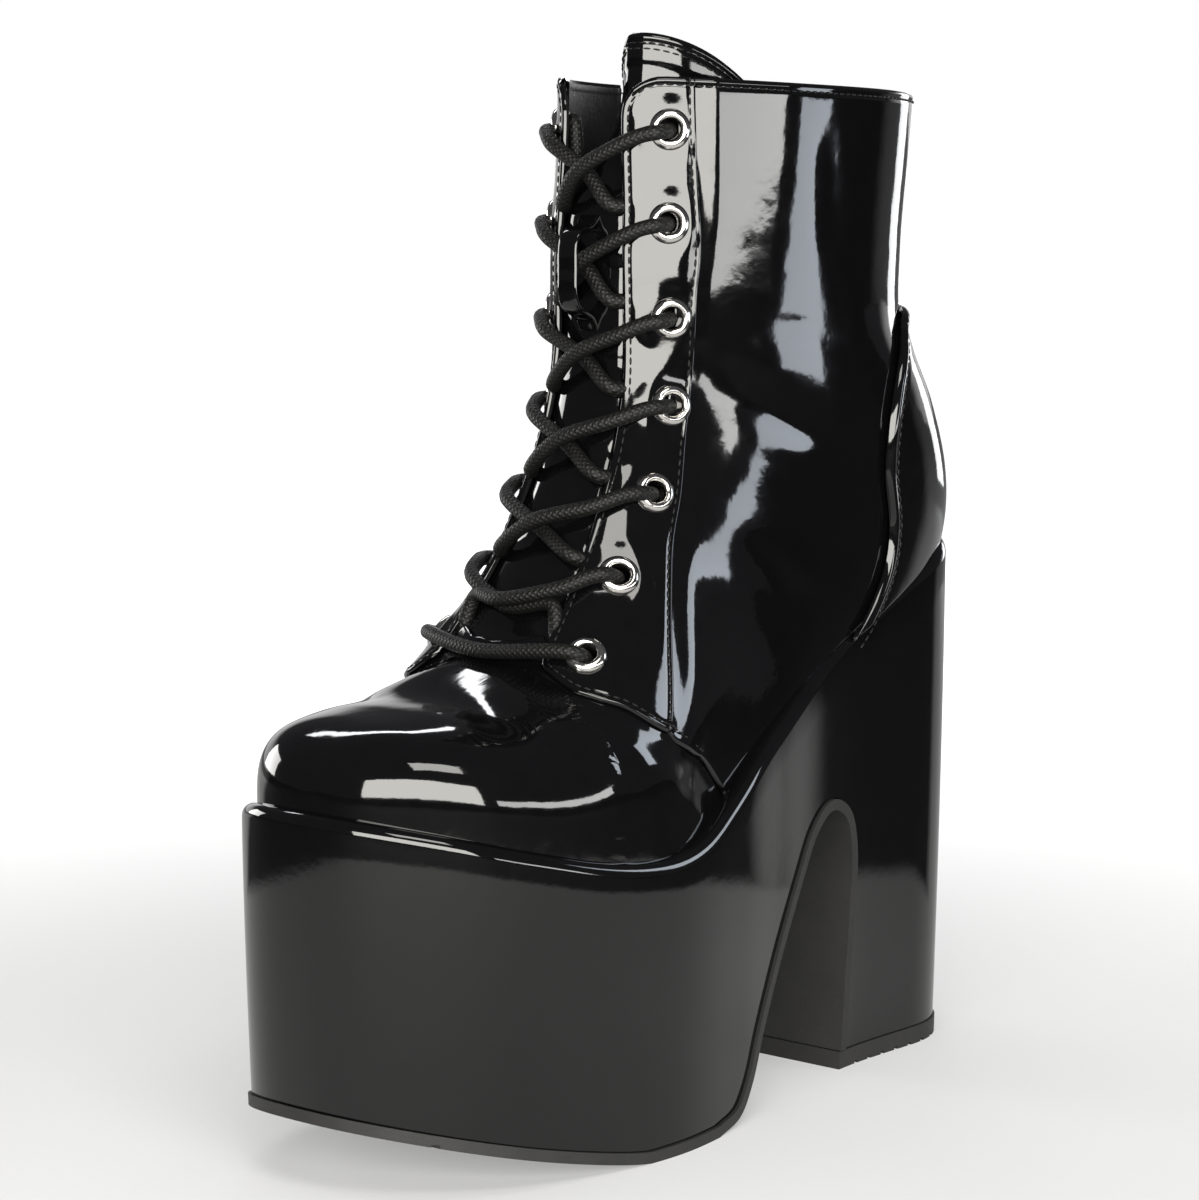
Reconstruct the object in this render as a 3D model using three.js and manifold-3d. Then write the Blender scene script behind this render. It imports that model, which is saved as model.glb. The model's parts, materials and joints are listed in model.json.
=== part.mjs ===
// Left platform boot, laced in front, with a zip on its inner side.
// Millimetres. +X is the outer side, +Y the heel, +Z up, and the sole stands on Z = 0.
import * as THREE from "three";
import { mergeVertices } from "three/addons/utils/BufferGeometryUtils.js";
import Module from "manifold-3d";

const wasm = await Module();
wasm.setup();

// Driving sizes
const TOE_TIP = -128; // front of the platform
const HEEL_BACK = 119; // back of the heel
const TOE_ROUND = 43; // length of the rounded toe end of the outline
const HEEL_ROUND = 31; // length of the rounded heel end
const GAP = 0.3; // clearance between pieces that touch
const WALL = 1.8; // upper, leather with its lining
const RAND = 3; // how far the upper stands in from the platform's edge
const TOE_RAND = 4.5; // the same at the toe tip
const DRAFT = 2.4; // the platform's foot is this much narrower all round
const SHOULDER = 4; // radius of the platform's top edge
const SOLE_THICK = 3; // outsole sheet
const SOLE_FLARE = 0.9; // how far the outsole's edge stands out
const TOE_SPRING = 17.7; // height of the outsole under the toe tip
const SPRING_START = -52; // the outsole leaves the floor in front of this line
const SPRING_POWER = 1.2;
const LIFT_THICK = 5; // rubber top piece under the heel
const INSOLE_THICK = 2;
const TONGUE_THICK = 2.6;
const COUNTER_THICK = 2.3; // heel counter with its folded edge
const EYELET_OUTER = 5.4; // radii
const EYELET_HOLE = 2.8;
const EYELET_CUT = 3.7; // hole in the leather
const LACE_RADIUS = 2;
const FORM_TOP = 292; // the shaft's form runs on above the collar and is cut there
const BOX_MIDDLE = { x: 3.47, y: -3.38 }; // of the finished boot, from the heel's centre line

// Platform outline: half widths from the heel's centre line, before the ends are rounded.
const OUTLINE = [
  { y: -128, lateral: 34, medial: 38 },
  { y: -100, lateral: 43, medial: 41 },
  { y: -80, lateral: 48, medial: 43.5 },
  { y: -55, lateral: 51.5, medial: 45 },
  { y: -35, lateral: 51.5, medial: 44 },
  { y: -10, lateral: 46.5, medial: 38.5 },
  { y: 15, lateral: 39.5, medial: 32.5 },
  { y: 40, lateral: 33, medial: 29 },
  { y: 65, lateral: 29.5, medial: 28 },
  { y: 119, lateral: 29, medial: 28 },
];

// Height of the platform's top edge, toe to heel.
const FEATHER = [
  { y: -128, z: 95.5 },
  { y: -110, z: 90.8 },
  { y: -90, z: 85.2 },
  { y: -65, z: 79.2 },
  { y: -45, z: 77.4 },
  { y: -30, z: 79.8 },
  { y: -16, z: 86.6 },
  { y: 3, z: 97.2 },
  { y: 27, z: 108.4 },
  { y: 51, z: 120.4 },
  { y: 70, z: 128.4 },
  { y: 90, z: 137 },
  { y: 119, z: 147 },
];

// Side view of the outsole behind the tread: up the platform, round the arch, down the heel breast.
const ARCH = [
  { y: -22, z: 0 },
  { y: -10, z: 2.8 },
  { y: -3.5, z: 10 },
  { y: 3, z: 23 },
  { y: 15, z: 42.5 },
  { y: 27, z: 59 },
  { y: 36, z: 70 },
  { y: 45, z: 74.6 },
  { y: 53, z: 71 },
  { y: 56.2, z: 61 },
  { y: 55.6, z: 44 },
  { y: 54, z: 22 },
  { y: 53, z: 0 },
];

// Ridge of the last over the toes, from the tip to the ball.
const TOE_RIDGE = [
  { y: -124, z: 111.5 },
  { y: -112, z: 114 },
  { y: -95, z: 116 },
  { y: -78, z: 117.5 },
  { y: -60, z: 125 },
];

// Sections of the last behind the ball. Each lies in a plane through its ridge point in front and
// its base point on the sole or the back seam. Half widths are from the heel's centre line,
// `waist` is the share of its length at which it is widest, and `front` and `back` are the powers
// of the superellipse quarters on either side: 2 is round, more is squarer.
const SECTIONS = [
  { t: 1, ridgeY: -60, ridgeZ: 125, baseY: -60, baseZ: 69.2, lateral: 47.9, medial: 41.8, waist: 0.36, front: 2.3, back: 9 },
  { t: 2, ridgeY: -50.5, ridgeZ: 137.5, baseY: -38, baseZ: 67, lateral: 48, medial: 41, waist: 0.34, front: 2.1, back: 9 },
  { t: 3, ridgeY: -41, ridgeZ: 152.5, baseY: -3, baseZ: 83, lateral: 41, medial: 34, waist: 0.36, front: 2.1, back: 8 },
  { t: 4, ridgeY: -33, ridgeZ: 166.5, baseY: 41, baseZ: 102, lateral: 32.5, medial: 29.5, waist: 0.4, front: 2.5, back: 6 },
  { t: 5, ridgeY: -27, ridgeZ: 179.5, baseY: 79, baseZ: 117, lateral: 31, medial: 29.5, waist: 0.4, front: 2.6, back: 4 },
  { t: 6, ridgeY: -23, ridgeZ: 191.5, baseY: 105, baseZ: 127.5, lateral: 31, medial: 30.5, waist: 0.42, front: 2.6, back: 2.8 },
  { t: 7, ridgeY: -20.7, ridgeZ: 203, baseY: 116.5, baseZ: 142.5, lateral: 31.5, medial: 31.5, waist: 0.42, front: 2.6, back: 2.4 },
  { t: 8, ridgeY: -20, ridgeZ: 215, baseY: 118.7, baseZ: 158, lateral: 32.5, medial: 33, waist: 0.44, front: 2.6, back: 2.2 },
  { t: 9, ridgeY: -20, ridgeZ: 228, baseY: 113, baseZ: 176, lateral: 33, medial: 33.5, waist: 0.46, front: 2.5, back: 2.1 },
  { t: 10, ridgeY: -19.5, ridgeZ: 241, baseY: 101.5, baseZ: 198, lateral: 33.5, medial: 33.5, waist: 0.48, front: 2.3, back: 2 },
  { t: 11, ridgeY: -19.5, ridgeZ: 254, baseY: 100.5, baseZ: 224, lateral: 34.5, medial: 33.2, waist: 0.5, front: 2.15, back: 2 },
  { t: 12, ridgeY: -19.5, ridgeZ: 268, baseY: 103, baseZ: 252, lateral: 36, medial: 33.2, waist: 0.5, front: 2.1, back: 2 },
  { t: 13, ridgeY: -19.5, ridgeZ: FORM_TOP, baseY: 106, baseZ: FORM_TOP - 6, lateral: 38, medial: 34, waist: 0.5, front: 2.1, back: 2 },
];

// Collar line in the side view, and the throat's edges in the front view.
const COLLAR = [
  { y: -60, z: 276 },
  { y: -20, z: 273 },
  { y: 20, z: 271 },
  { y: 70, z: 269 },
  { y: 130, z: 266 },
];
const THROAT = [
  { z: 134, lateral: 16.5, medial: -16.5 },
  { z: 148, lateral: 15.3, medial: -15.3 },
  { z: 166, lateral: 14, medial: -14.3 },
  { z: 188, lateral: 12.5, medial: -13.3 },
  { z: 210, lateral: 11, medial: -12.5 },
  { z: 235, lateral: 10.5, medial: -12 },
  { z: 262, lateral: 9.7, medial: -10.5 },
];
const THROAT_FOOT = 129; // lowest point of the throat
const CORNER = 10; // radius of the facings' top corners

// Eyelet pairs from the top down.
const EYELETS = [
  { z: 259, lateral: 20, medial: -20.5 },
  { z: 235, lateral: 20, medial: -21.5 },
  { z: 210.5, lateral: 20.5, medial: -22 },
  { z: 188, lateral: 21, medial: -22.5 },
  { z: 166, lateral: 22.5, medial: -23.5 },
  { z: 146, lateral: 24.5, medial: -25.5 },
  { z: 127.5, lateral: 27.8, medial: -28.5 },
];

// Front edge of the heel counter, from the top of the back seam down to the platform.
const COUNTER_EDGE = [
  { y: 125, z: 211 },
  { y: 82, z: 208 },
  { y: 73, z: 195 },
  { y: 67.5, z: 180 },
  { y: 67, z: 165 },
  { y: 70, z: 150 },
  { y: 68, z: 138 },
  { y: 56, z: 118 },
];

// Zip line on the inner side, top to bottom.
const ZIP = [
  { y: 34, z: 290 },
  { y: 33, z: 255 },
  { y: 31, z: 225 },
  { y: 25, z: 190 },
  { y: 18, z: 165 },
  { y: 8, z: 140 },
  { y: -8, z: 115 },
];
const ZIP_SLOT = 7; // width between the lips
const ZIP_TEETH = 5.6;
const ZIP_TAPE = 14;

// ---------- tables and curves ----------

// Smooth curve through a table's rows: the value of column `name` where column `key` is `at`.
function smooth(table, key, name, at) {
  let i = 0;
  while (i < table.length - 2 && at > table[i + 1][key]) i += 1;
  const slope = (j) => {
    const before = table[Math.max(j - 1, 0)];
    const after = table[Math.min(j + 1, table.length - 1)];
    return (after[name] - before[name]) / (after[key] - before[key]);
  };
  const width = table[i + 1][key] - table[i][key];
  const u = THREE.MathUtils.clamp((at - table[i][key]) / width, 0, 1);
  const rise = u * u * (3 - 2 * u);
  const leave = u * (1 - u) * (1 - u) * width * slope(i);
  const arrive = u * u * (u - 1) * width * slope(i + 1);
  return table[i][name] + (table[i + 1][name] - table[i][name]) * rise + leave + arrive;
}

// Quarter of a superellipse: 0 at the tip, 1 where the rounding ends.
function roundEnd(distance, length, power) {
  const left = 1 - THREE.MathUtils.clamp(distance / length, 0, 1);
  return Math.pow(1 - Math.pow(left, power), 1 / power);
}

function halfWidth(side, y) {
  const toe = roundEnd(y - TOE_TIP, TOE_ROUND, 2.4);
  const heel = roundEnd(HEEL_BACK - y, HEEL_ROUND, 2.2);
  return smooth(OUTLINE, "y", side, y) * toe * heel;
}

function featherZ(y) {
  return smooth(FEATHER, "y", "z", y);
}

function treadZ(y) {
  const forward = Math.max(SPRING_START - y, 0) / (SPRING_START - TOE_TIP);
  return TOE_SPRING * Math.pow(forward, SPRING_POWER);
}

// Points moved sideways off a line, to its left for a positive distance.
function offsetLine(points, distance, closed = false) {
  const count = points.length;
  return points.map((point, i) => {
    const before = closed ? points[(i + count - 1) % count] : points[Math.max(i - 1, 0)];
    const after = closed ? points[(i + 1) % count] : points[Math.min(i + 1, count - 1)];
    const along = after.clone().sub(before).normalize();
    return new THREE.Vector2(point.x - along.y * distance, point.y + along.x * distance);
  });
}

// The platform's outline seen from above, anticlockwise, moved in by `inset`.
function outline(inset, count = 44) {
  const middle = (TOE_TIP + HEEL_BACK) / 2;
  const half = (HEEL_BACK - TOE_TIP) / 2;
  const points = [];
  for (let i = 0; i < count; i += 1) {
    const angle = ((i + 0.5) / count) * 2 * Math.PI;
    const y = middle - half * Math.cos(angle);
    const x = angle < Math.PI ? halfWidth("lateral", y) : -halfWidth("medial", y);
    points.push(new THREE.Vector2(x, y));
  }
  return offsetLine(points, inset, true);
}

// ---------- meshes and solids ----------

// Closed mesh through rings of equal length, capped at both ends.
function loftRings(rings) {
  const count = rings[0].length;
  const positions = rings.flat().flatMap((p) => [p.x, p.y, p.z]);
  const index = [];
  for (let r = 0; r < rings.length - 1; r += 1) {
    for (let i = 0; i < count; i += 1) {
      const next = (i + 1) % count;
      const [a, b] = [r * count + i, r * count + next];
      index.push(a, b, b + count, a, b + count, a + count);
    }
  }
  [0, rings.length - 1].forEach((r) => {
    // A ladder across the ring: its first half mirrors its second.
    for (let i = 0; i < count / 2 - 1; i += 1) {
      const [a, b] = [r * count + i, r * count + i + 1];
      const [d, c] = [r * count + count - 1 - i, r * count + count - 2 - i];
      if (r === 0) index.push(a, d, c, a, c, b);
      else index.push(a, c, d, a, b, c);
    }
  });
  const geometry = new THREE.BufferGeometry();
  geometry.setAttribute("position", new THREE.Float32BufferAttribute(positions, 3));
  geometry.setIndex(index);
  return geometry;
}

function solid(geometry) {
  const bare = geometry.clone();
  bare.deleteAttribute("normal");
  bare.deleteAttribute("uv");
  const merged = mergeVertices(bare, 1e-4);
  const vertProperties = merged.getAttribute("position").array;
  const triVerts = new Uint32Array(merged.index.array);
  const made = new wasm.Manifold(new wasm.Mesh({ numProp: 3, vertProperties, triVerts }));
  if (made.volume() > 0) return made;
  for (let i = 0; i < triVerts.length; i += 3) {
    [triVerts[i + 1], triVerts[i + 2]] = [triVerts[i + 2], triVerts[i + 1]];
  }
  return new wasm.Manifold(new wasm.Mesh({ numProp: 3, vertProperties, triVerts }));
}

function geometryOf(made) {
  const mesh = made.getMesh();
  const geometry = new THREE.BufferGeometry();
  geometry.setAttribute("position", new THREE.BufferAttribute(mesh.vertProperties, 3));
  geometry.setIndex(new THREE.BufferAttribute(mesh.triVerts, 1));
  return geometry;
}

// Prism of a side-view shape (Y across, Z up) between two X planes.
function sidePrism(points, xFrom, xTo) {
  const geometry = new THREE.ExtrudeGeometry(new THREE.Shape(points), {
    depth: xTo - xFrom,
    bevelEnabled: false,
  });
  const axes = new THREE.Matrix4().makeBasis(
    new THREE.Vector3(0, 1, 0),
    new THREE.Vector3(0, 0, 1),
    new THREE.Vector3(1, 0, 0),
  );
  return solid(geometry.applyMatrix4(axes).translate(xFrom, 0, 0));
}

// Prism of a front-view shape (X across, Z up) between two Y planes.
function frontPrism(points, yFrom, yTo) {
  const geometry = new THREE.ExtrudeGeometry(new THREE.Shape(points), {
    depth: yTo - yFrom,
    bevelEnabled: false,
  });
  return solid(geometry.rotateX(Math.PI / 2).translate(0, yTo, 0));
}

function boxSolid(from, to) {
  const size = new THREE.Vector3().subVectors(to, from);
  const centre = new THREE.Vector3().addVectors(from, to).multiplyScalar(0.5);
  return solid(new THREE.BoxGeometry(size.x, size.y, size.z).translate(centre.x, centre.y, centre.z));
}

// Frame whose Z axis is `up` and whose X axis lies as near `across` as it can, at a point.
function frameAt(point, up, across) {
  const z = up.clone().normalize();
  const y = new THREE.Vector3().crossVectors(z, across).normalize();
  const x = new THREE.Vector3().crossVectors(y, z);
  return new THREE.Matrix4().makeBasis(x, y, z).setPosition(point);
}

function tube(points, radius, sides, steps) {
  const section = new THREE.Shape();
  section.absarc(0, 0, radius, 0, 2 * Math.PI, false);
  return solid(
    new THREE.ExtrudeGeometry(section, {
      curveSegments: sides,
      steps,
      bevelEnabled: false,
      extrudePath: new THREE.CatmullRomCurve3(points),
    }),
  );
}

// ---------- the last ----------

// One section of the last's form. `t` runs from 0 at the toe tip through 1 at the ball to the
// shaft's top, and `inset` is how far the form lies inside the upper's outer face.
function section(t, inset) {
  if (t >= 1) {
    const row = {};
    Object.keys(SECTIONS[0]).forEach((name) => {
      row[name] = smooth(SECTIONS, "t", name, t);
    });
    row.inset = inset;
    return row;
  }
  const tip = TOE_TIP + TOE_RAND + inset;
  const ball = SECTIONS[0].ridgeY;
  const y = tip + (ball - tip) * (1 - Math.cos((t * Math.PI) / 2));
  const place = Math.max(y, TOE_TIP + 1);
  const baseZ = featherZ(place) - 9.4;
  const swell = roundEnd(y - tip + 0.8, 20, 2.6);
  const grown = THREE.MathUtils.smoothstep(y, TOE_TIP, -90);
  const rand = RAND + (TOE_RAND - RAND) * (1 - grown);
  const narrow = roundEnd(y - tip + 0.8, TOE_ROUND - TOE_RAND, 2.4);
  return {
    ridgeY: y,
    ridgeZ: baseZ + (smooth(TOE_RIDGE, "y", "z", place) - baseZ) * (0.42 + 0.58 * swell),
    baseY: y,
    baseZ,
    lateral: (smooth(OUTLINE, "y", "lateral", place) - rand) * narrow,
    medial: (smooth(OUTLINE, "y", "medial", place) - rand) * narrow,
    waist: 0.36,
    front: 3.2 - 0.8 * t,
    back: 9,
    inset: inset * Math.min(1, narrow + 0.2),
  };
}

// A point of the form: `angle` runs from 0 on the ridge, down the outer side, round the base.
function formPoint(t, angle, inset) {
  const s = section(t, inset);
  const ridge = new THREE.Vector2(s.ridgeY, s.ridgeZ);
  const base = new THREE.Vector2(s.baseY, s.baseZ);
  const down = base.clone().sub(ridge).normalize();
  ridge.addScaledVector(down, s.inset);
  base.addScaledVector(down, t > 1 ? -s.inset : 0);
  const middle = base.clone().lerp(ridge, s.waist);
  const upper = Math.cos(angle) >= 0;
  const power = upper ? s.front : s.back;
  const along = Math.pow(Math.abs(Math.cos(angle)), 2 / power);
  const side = Math.sin(angle) >= 0 ? 1 : -1;
  const width = (side > 0 ? s.lateral : s.medial) - s.inset;
  const across = side * width * Math.pow(Math.abs(Math.sin(angle)), 2 / power);
  const place = middle.lerp(upper ? ridge : base, along);
  return new THREE.Vector3(across, place.x, place.y);
}

// Angles round a section: closer together where the surface bends most.
function formAngles(count) {
  return Array.from({ length: count }, (_, i) => {
    const turn = ((i + 0.5) / count) * 2 * Math.PI;
    return turn - 0.12 * Math.sin(2 * turn);
  });
}

const FORM_STEPS = [0, 0.12, 0.25, 0.4, 0.6, 0.8];
for (let t = 1; t <= 13; t += t < 4 ? 0.5 : 1) FORM_STEPS.push(t);

// The last's form, closed at the toe and the shaft's top, `inset` inside the upper's outer face.
function form(inset, count = 30) {
  const angles = formAngles(count);
  const depth = typeof inset === "function" ? inset : () => inset;
  return solid(loftRings(FORM_STEPS.map((t) => angles.map((a) => formPoint(t, a, depth(t))))));
}

// Where the form's front meets a given X and Z, with the way out of the surface there.
function frontPoint(x, z, inset = 0) {
  let [low, high] = [0.5, 12.9];
  const turnFor = (t) => {
    let [from, to] = [-1.4, 1.4];
    for (let i = 0; i < 30; i += 1) {
      const half = (from + to) / 2;
      if (formPoint(t, half, inset).x < x) from = half;
      else to = half;
    }
    return (from + to) / 2;
  };
  for (let i = 0; i < 30; i += 1) {
    const half = (low + high) / 2;
    if (formPoint(half, turnFor(half), inset).z < z) low = half;
    else high = half;
  }
  const turn = turnFor(low);
  const point = formPoint(low, turn, inset);
  const around = formPoint(low, turn + 0.03, inset).sub(formPoint(low, turn - 0.03, inset));
  const up = formPoint(low + 0.03, turn, inset).sub(formPoint(low - 0.03, turn, inset));
  return { point, out: new THREE.Vector3().crossVectors(around, up).normalize() };
}

// ---------- sole ----------

// The platform's whole form, `grow` wider all round, standing below the floor to be cut.
function soleForm(grow) {
  const level = (share, drop, inset) => ({ share, drop, inset: inset - grow });
  const levels = [
    level(0, 0, DRAFT),
    level(0.6, 0, DRAFT * 0.3),
    level(1, SHOULDER, 0),
    level(1, SHOULDER * 0.45, SHOULDER * 0.16),
    level(1, SHOULDER * 0.12, SHOULDER * 0.52),
    level(1, 0, SHOULDER),
  ];
  const foot = -4;
  return solid(
    loftRings(
      levels.map(({ share, drop, inset }) =>
        outline(inset).map((p) => {
          const top = featherZ(p.y);
          return new THREE.Vector3(p.x, p.y, foot + (top - foot) * share - drop);
        }),
      ),
    ),
  );
}

// Side view of the outsole's outer face, from the toe to the foot of the heel breast.
function soleLine() {
  const tread = [];
  for (let y = TOE_TIP - 4; y < SPRING_START; y += 8) tread.push(new THREE.Vector2(y, treadZ(y)));
  tread.push(new THREE.Vector2(SPRING_START, 0));
  const arch = new THREE.SplineCurve(ARCH.map(({ y, z }) => new THREE.Vector2(y, z)));
  return [...tread, ...arch.getPoints(30)];
}

const heelBreast = ARCH[ARCH.length - 1].y;
const FLOOR_CUT = -6;

function makeOutsole() {
  const line = soleLine();
  const strip = [...line, ...offsetLine(line, SOLE_THICK).reverse()];
  const sheet = sidePrism(strip, -70, 70).intersect(soleForm(SOLE_FLARE));
  const lift = LIFT_THICK + GAP;
  const below = boxSolid(new THREE.Vector3(-70, heelBreast - 10, FLOOR_CUT), new THREE.Vector3(70, 80, lift));
  return sheet.subtract(below);
}

function makePlatform() {
  const line = offsetLine(soleLine(), SOLE_THICK + GAP);
  const under = [
    new THREE.Vector2(TOE_TIP - 20, FLOOR_CUT),
    new THREE.Vector2(TOE_TIP - 20, line[0].y),
    ...line,
    new THREE.Vector2(heelBreast + SOLE_THICK + GAP, FLOOR_CUT),
  ];
  const lift = boxSolid(
    new THREE.Vector3(-70, heelBreast - 1, FLOOR_CUT),
    new THREE.Vector3(70, HEEL_BACK + 20, LIFT_THICK + GAP),
  );
  const above = featherStrip(0, 30);
  return soleForm(0).subtract(sidePrism(under, -70, 70)).subtract(lift).subtract(above);
}

function makeLift() {
  const slab = boxSolid(
    new THREE.Vector3(-70, heelBreast, 0),
    new THREE.Vector3(70, HEEL_BACK + 20, LIFT_THICK),
  );
  return soleForm(SOLE_FLARE * 0.6).intersect(slab);
}

// Side-view strip that follows the platform's top, between two heights above it.
function featherStrip(low, high) {
  const edge = (rise) => {
    const points = [];
    for (let y = TOE_TIP - 19; y < HEEL_BACK + 25; y += 7) {
      points.push(new THREE.Vector2(y, featherZ(y) + rise));
    }
    return points;
  };
  return sidePrism([...edge(low), ...edge(high).reverse()], -70, 70);
}

function makeInsole() {
  const strip = featherStrip(GAP, GAP + INSOLE_THICK);
  return form(WALL + 0.5).intersect(strip);
}

// ---------- upper ----------

function collarCut() {
  const line = COLLAR.map(({ y, z }) => new THREE.Vector2(y, z));
  line.push(new THREE.Vector2(130, FORM_TOP + 20), new THREE.Vector2(-60, FORM_TOP + 20));
  return sidePrism(line, -80, 80);
}

// Front view of the throat, with the facings' top corners rounded.
function throatShape() {
  const side = (name, sign) => {
    const points = THROAT.map((row) => new THREE.Vector2(row[name], row.z));
    const top = points[points.length - 1];
    for (let i = 1; i <= 6; i += 1) {
      const turn = (i / 6) * (Math.PI / 2);
      const x = top.x + sign * CORNER * (1 - Math.cos(turn));
      points.push(new THREE.Vector2(x, top.y + CORNER * Math.sin(turn)));
    }
    points.push(new THREE.Vector2(top.x + sign * CORNER * 1.4, FORM_TOP + 10));
    return points;
  };
  const [right, left] = [side("lateral", 1), side("medial", -1)];
  const foot = [];
  for (let i = 1; i < 8; i += 1) {
    const turn = Math.PI + (i / 8) * Math.PI;
    const half = (right[0].x - left[0].x) / 2;
    const x = (right[0].x + left[0].x) / 2 + half * Math.cos(turn);
    foot.push(new THREE.Vector2(x, right[0].y + (right[0].y - THROAT_FOOT) * Math.sin(turn)));
  }
  return [...left.reverse(), ...foot, ...right];
}

// Side-view band of a given width along the zip line, down to its foot.
function zipBand(width, footRise = 0) {
  const curve = new THREE.SplineCurve(ZIP.map(({ y, z }) => new THREE.Vector2(y, z)));
  const line = curve.getPoints(24).filter((p) => p.y > ZIP[ZIP.length - 1].z + footRise - 1e-6);
  const outer = offsetLine(line, width / 2);
  return sidePrism([...outer, ...offsetLine(line, -width / 2).reverse()], -80, 0);
}

function makeUpper() {
  const under = featherStrip(-60, GAP);
  let upper = form(0).subtract(form(WALL)).subtract(collarCut()).subtract(under);
  upper = upper.subtract(frontPrism(throatShape(), -90, 0)).subtract(zipBand(ZIP_SLOT));
  eyeletFrames().forEach(({ matrix }) => {
    const drill = new THREE.CylinderGeometry(EYELET_CUT, EYELET_CUT, 9, 10).rotateX(Math.PI / 2);
    upper = upper.subtract(solid(drill.applyMatrix4(matrix)));
  });
  return largest(upper);
}

// Booleans can leave slivers beside the piece that is wanted.
function largest(made) {
  return made.decompose().sort((a, b) => b.volume() - a.volume())[0];
}

function makeCounter() {
  const edge = new THREE.SplineCurve(COUNTER_EDGE.map(({ y, z }) => new THREE.Vector2(y, z)));
  const side = [...edge.getPoints(24), new THREE.Vector2(140, 100), new THREE.Vector2(140, 220)];
  const shell = form(-GAP - COUNTER_THICK).subtract(form(-GAP));
  const under = featherStrip(-60, GAP);
  return largest(shell.intersect(sidePrism(side, -80, 80)).subtract(under));
}

const TONGUE_INSET = WALL + 0.8;
const TONGUE_LEAN = 15; // how far its top leans back
const TONGUE_FOOT = 116;
const TONGUE_TOP = 284;
const TONGUE_WRAP = 22; // it reaches this far back on either side

// The tongue lies against the facings and leans back above the top eyelets.
function tongueInset(extra) {
  return (t) => TONGUE_INSET + extra + TONGUE_LEAN * THREE.MathUtils.smoothstep(t, 9.6, 12.2);
}

function makeTongue() {
  const shell = form(tongueInset(0)).subtract(form(tongueInset(TONGUE_THICK)));
  const outlineShape = new THREE.Shape();
  outlineShape.moveTo(-23, TONGUE_FOOT);
  outlineShape.lineTo(25, TONGUE_FOOT);
  outlineShape.lineTo(27, 271);
  outlineShape.quadraticCurveTo(22, TONGUE_TOP, 2, TONGUE_TOP);
  outlineShape.quadraticCurveTo(-20, TONGUE_TOP, -24, 272);
  return largest(shell.intersect(frontPrism(outlineShape.getPoints(6), -90, TONGUE_WRAP)));
}

// ---------- eyelets and lace ----------

function eyeletFrames() {
  const across = new THREE.Vector3(1, 0, 0);
  return EYELETS.flatMap((row, i) =>
    ["lateral", "medial"].map((name) => {
      const { point, out } = frontPoint(row[name], row.z);
      return { name: `eyelet_${name}_${i + 1}`, point, out, matrix: frameAt(point, out, across) };
    }),
  );
}

function eyeletGeometry() {
  const lip = 0.5;
  const profile = [
    [EYELET_HOLE, -WALL],
    [EYELET_CUT - GAP, -WALL],
    [EYELET_CUT - GAP, lip],
    [EYELET_OUTER, lip + 0.1],
    [EYELET_HOLE + 0.8, lip + 1],
    [EYELET_HOLE, -WALL],
  ];
  const points = profile.map(([r, z]) => new THREE.Vector2(r, z));
  return new THREE.LatheGeometry(points, 10).rotateX(Math.PI / 2);
}

// Points over the throat: X and Z on the form's front, and how far out of it.
function over(x, z, out) {
  const at = frontPoint(x, z);
  return at.point.addScaledVector(at.out, out);
}

const throatEdge = (name, z) => smooth(THROAT, "z", name, Math.max(z, THROAT[0].z));
const OVER_FACING = LACE_RADIUS + 0.9; // lace centre above the leather
const END_SHARE = 0.5; // a lace solid ends this far from the facing's edge to the eyelet

function laceEnd(name, row) {
  const edge = throatEdge(name, row.z);
  const x = THREE.MathUtils.lerp(edge, row[name], END_SHARE);
  return over(x, row.z - 1.5, OVER_FACING);
}

// Two strands that cross in the throat: each comes from under one facing and lies on the other.
function laceCross(upper, lower) {
  const strands = [
    ["lateral", "medial", -1],
    ["medial", "lateral", 1],
  ].map(([from, to, sign]) => {
    const middle = (throatEdge(from, lower.z) + throatEdge(to, lower.z)) / 2;
    const startZ = Math.max(lower.z + 4.5, THROAT[0].z + 4.5);
    const start = over(throatEdge(from, lower.z) + sign * 2.9, startZ, 0.4);
    const centre = over(middle, (upper.z + lower.z) / 2 + 1, 1.3);
    const edge = over(throatEdge(to, upper.z), upper.z - 4.2, OVER_FACING);
    return tube([start, centre, edge, laceEnd(to, upper)], LACE_RADIUS, 3, 5);
  });
  return strands[0].add(strands[1]);
}

function laceBar() {
  const row = EYELETS[EYELETS.length - 1];
  const points = [
    laceEnd("lateral", row),
    over(throatEdge("lateral", row.z) - 3, row.z - 2, OVER_FACING),
    over(0, row.z - 2.5, OVER_FACING - 0.4),
    over(throatEdge("medial", row.z) + 3, row.z - 2, OVER_FACING),
    laceEnd("medial", row),
  ];
  return tube(points, LACE_RADIUS, 3, 8);
}

// Inner face of the strap that holds the laces on the tongue: height, and how far out of the form.
const KEEPER = [
  { z: 207, out: -2.2 },
  { z: 210, out: -0.4 },
  { z: 213.5, out: 4.4 },
  { z: 223, out: 5.2 },
  { z: 231.5, out: 4.4 },
  { z: 234, out: 0 },
  { z: 236.8, out: -2.2 },
];
const KEEPER_WIDTH = 6;
const KEEPER_THICK = 1.1;

function makeKeeper() {
  const middle = (throatEdge("lateral", 223) + throatEdge("medial", 223)) / 2;
  const curve = new THREE.SplineCurve(
    KEEPER.map(({ z, out }) => {
      const at = over(middle, z, out);
      return new THREE.Vector2(at.y, at.z);
    }),
  );
  const inner = curve.getPoints(14);
  const band = [...inner, ...offsetLine(inner, KEEPER_THICK).reverse()];
  return sidePrism(band, middle - KEEPER_WIDTH / 2, middle + KEEPER_WIDTH / 2);
}

// ---------- zip ----------

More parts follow.
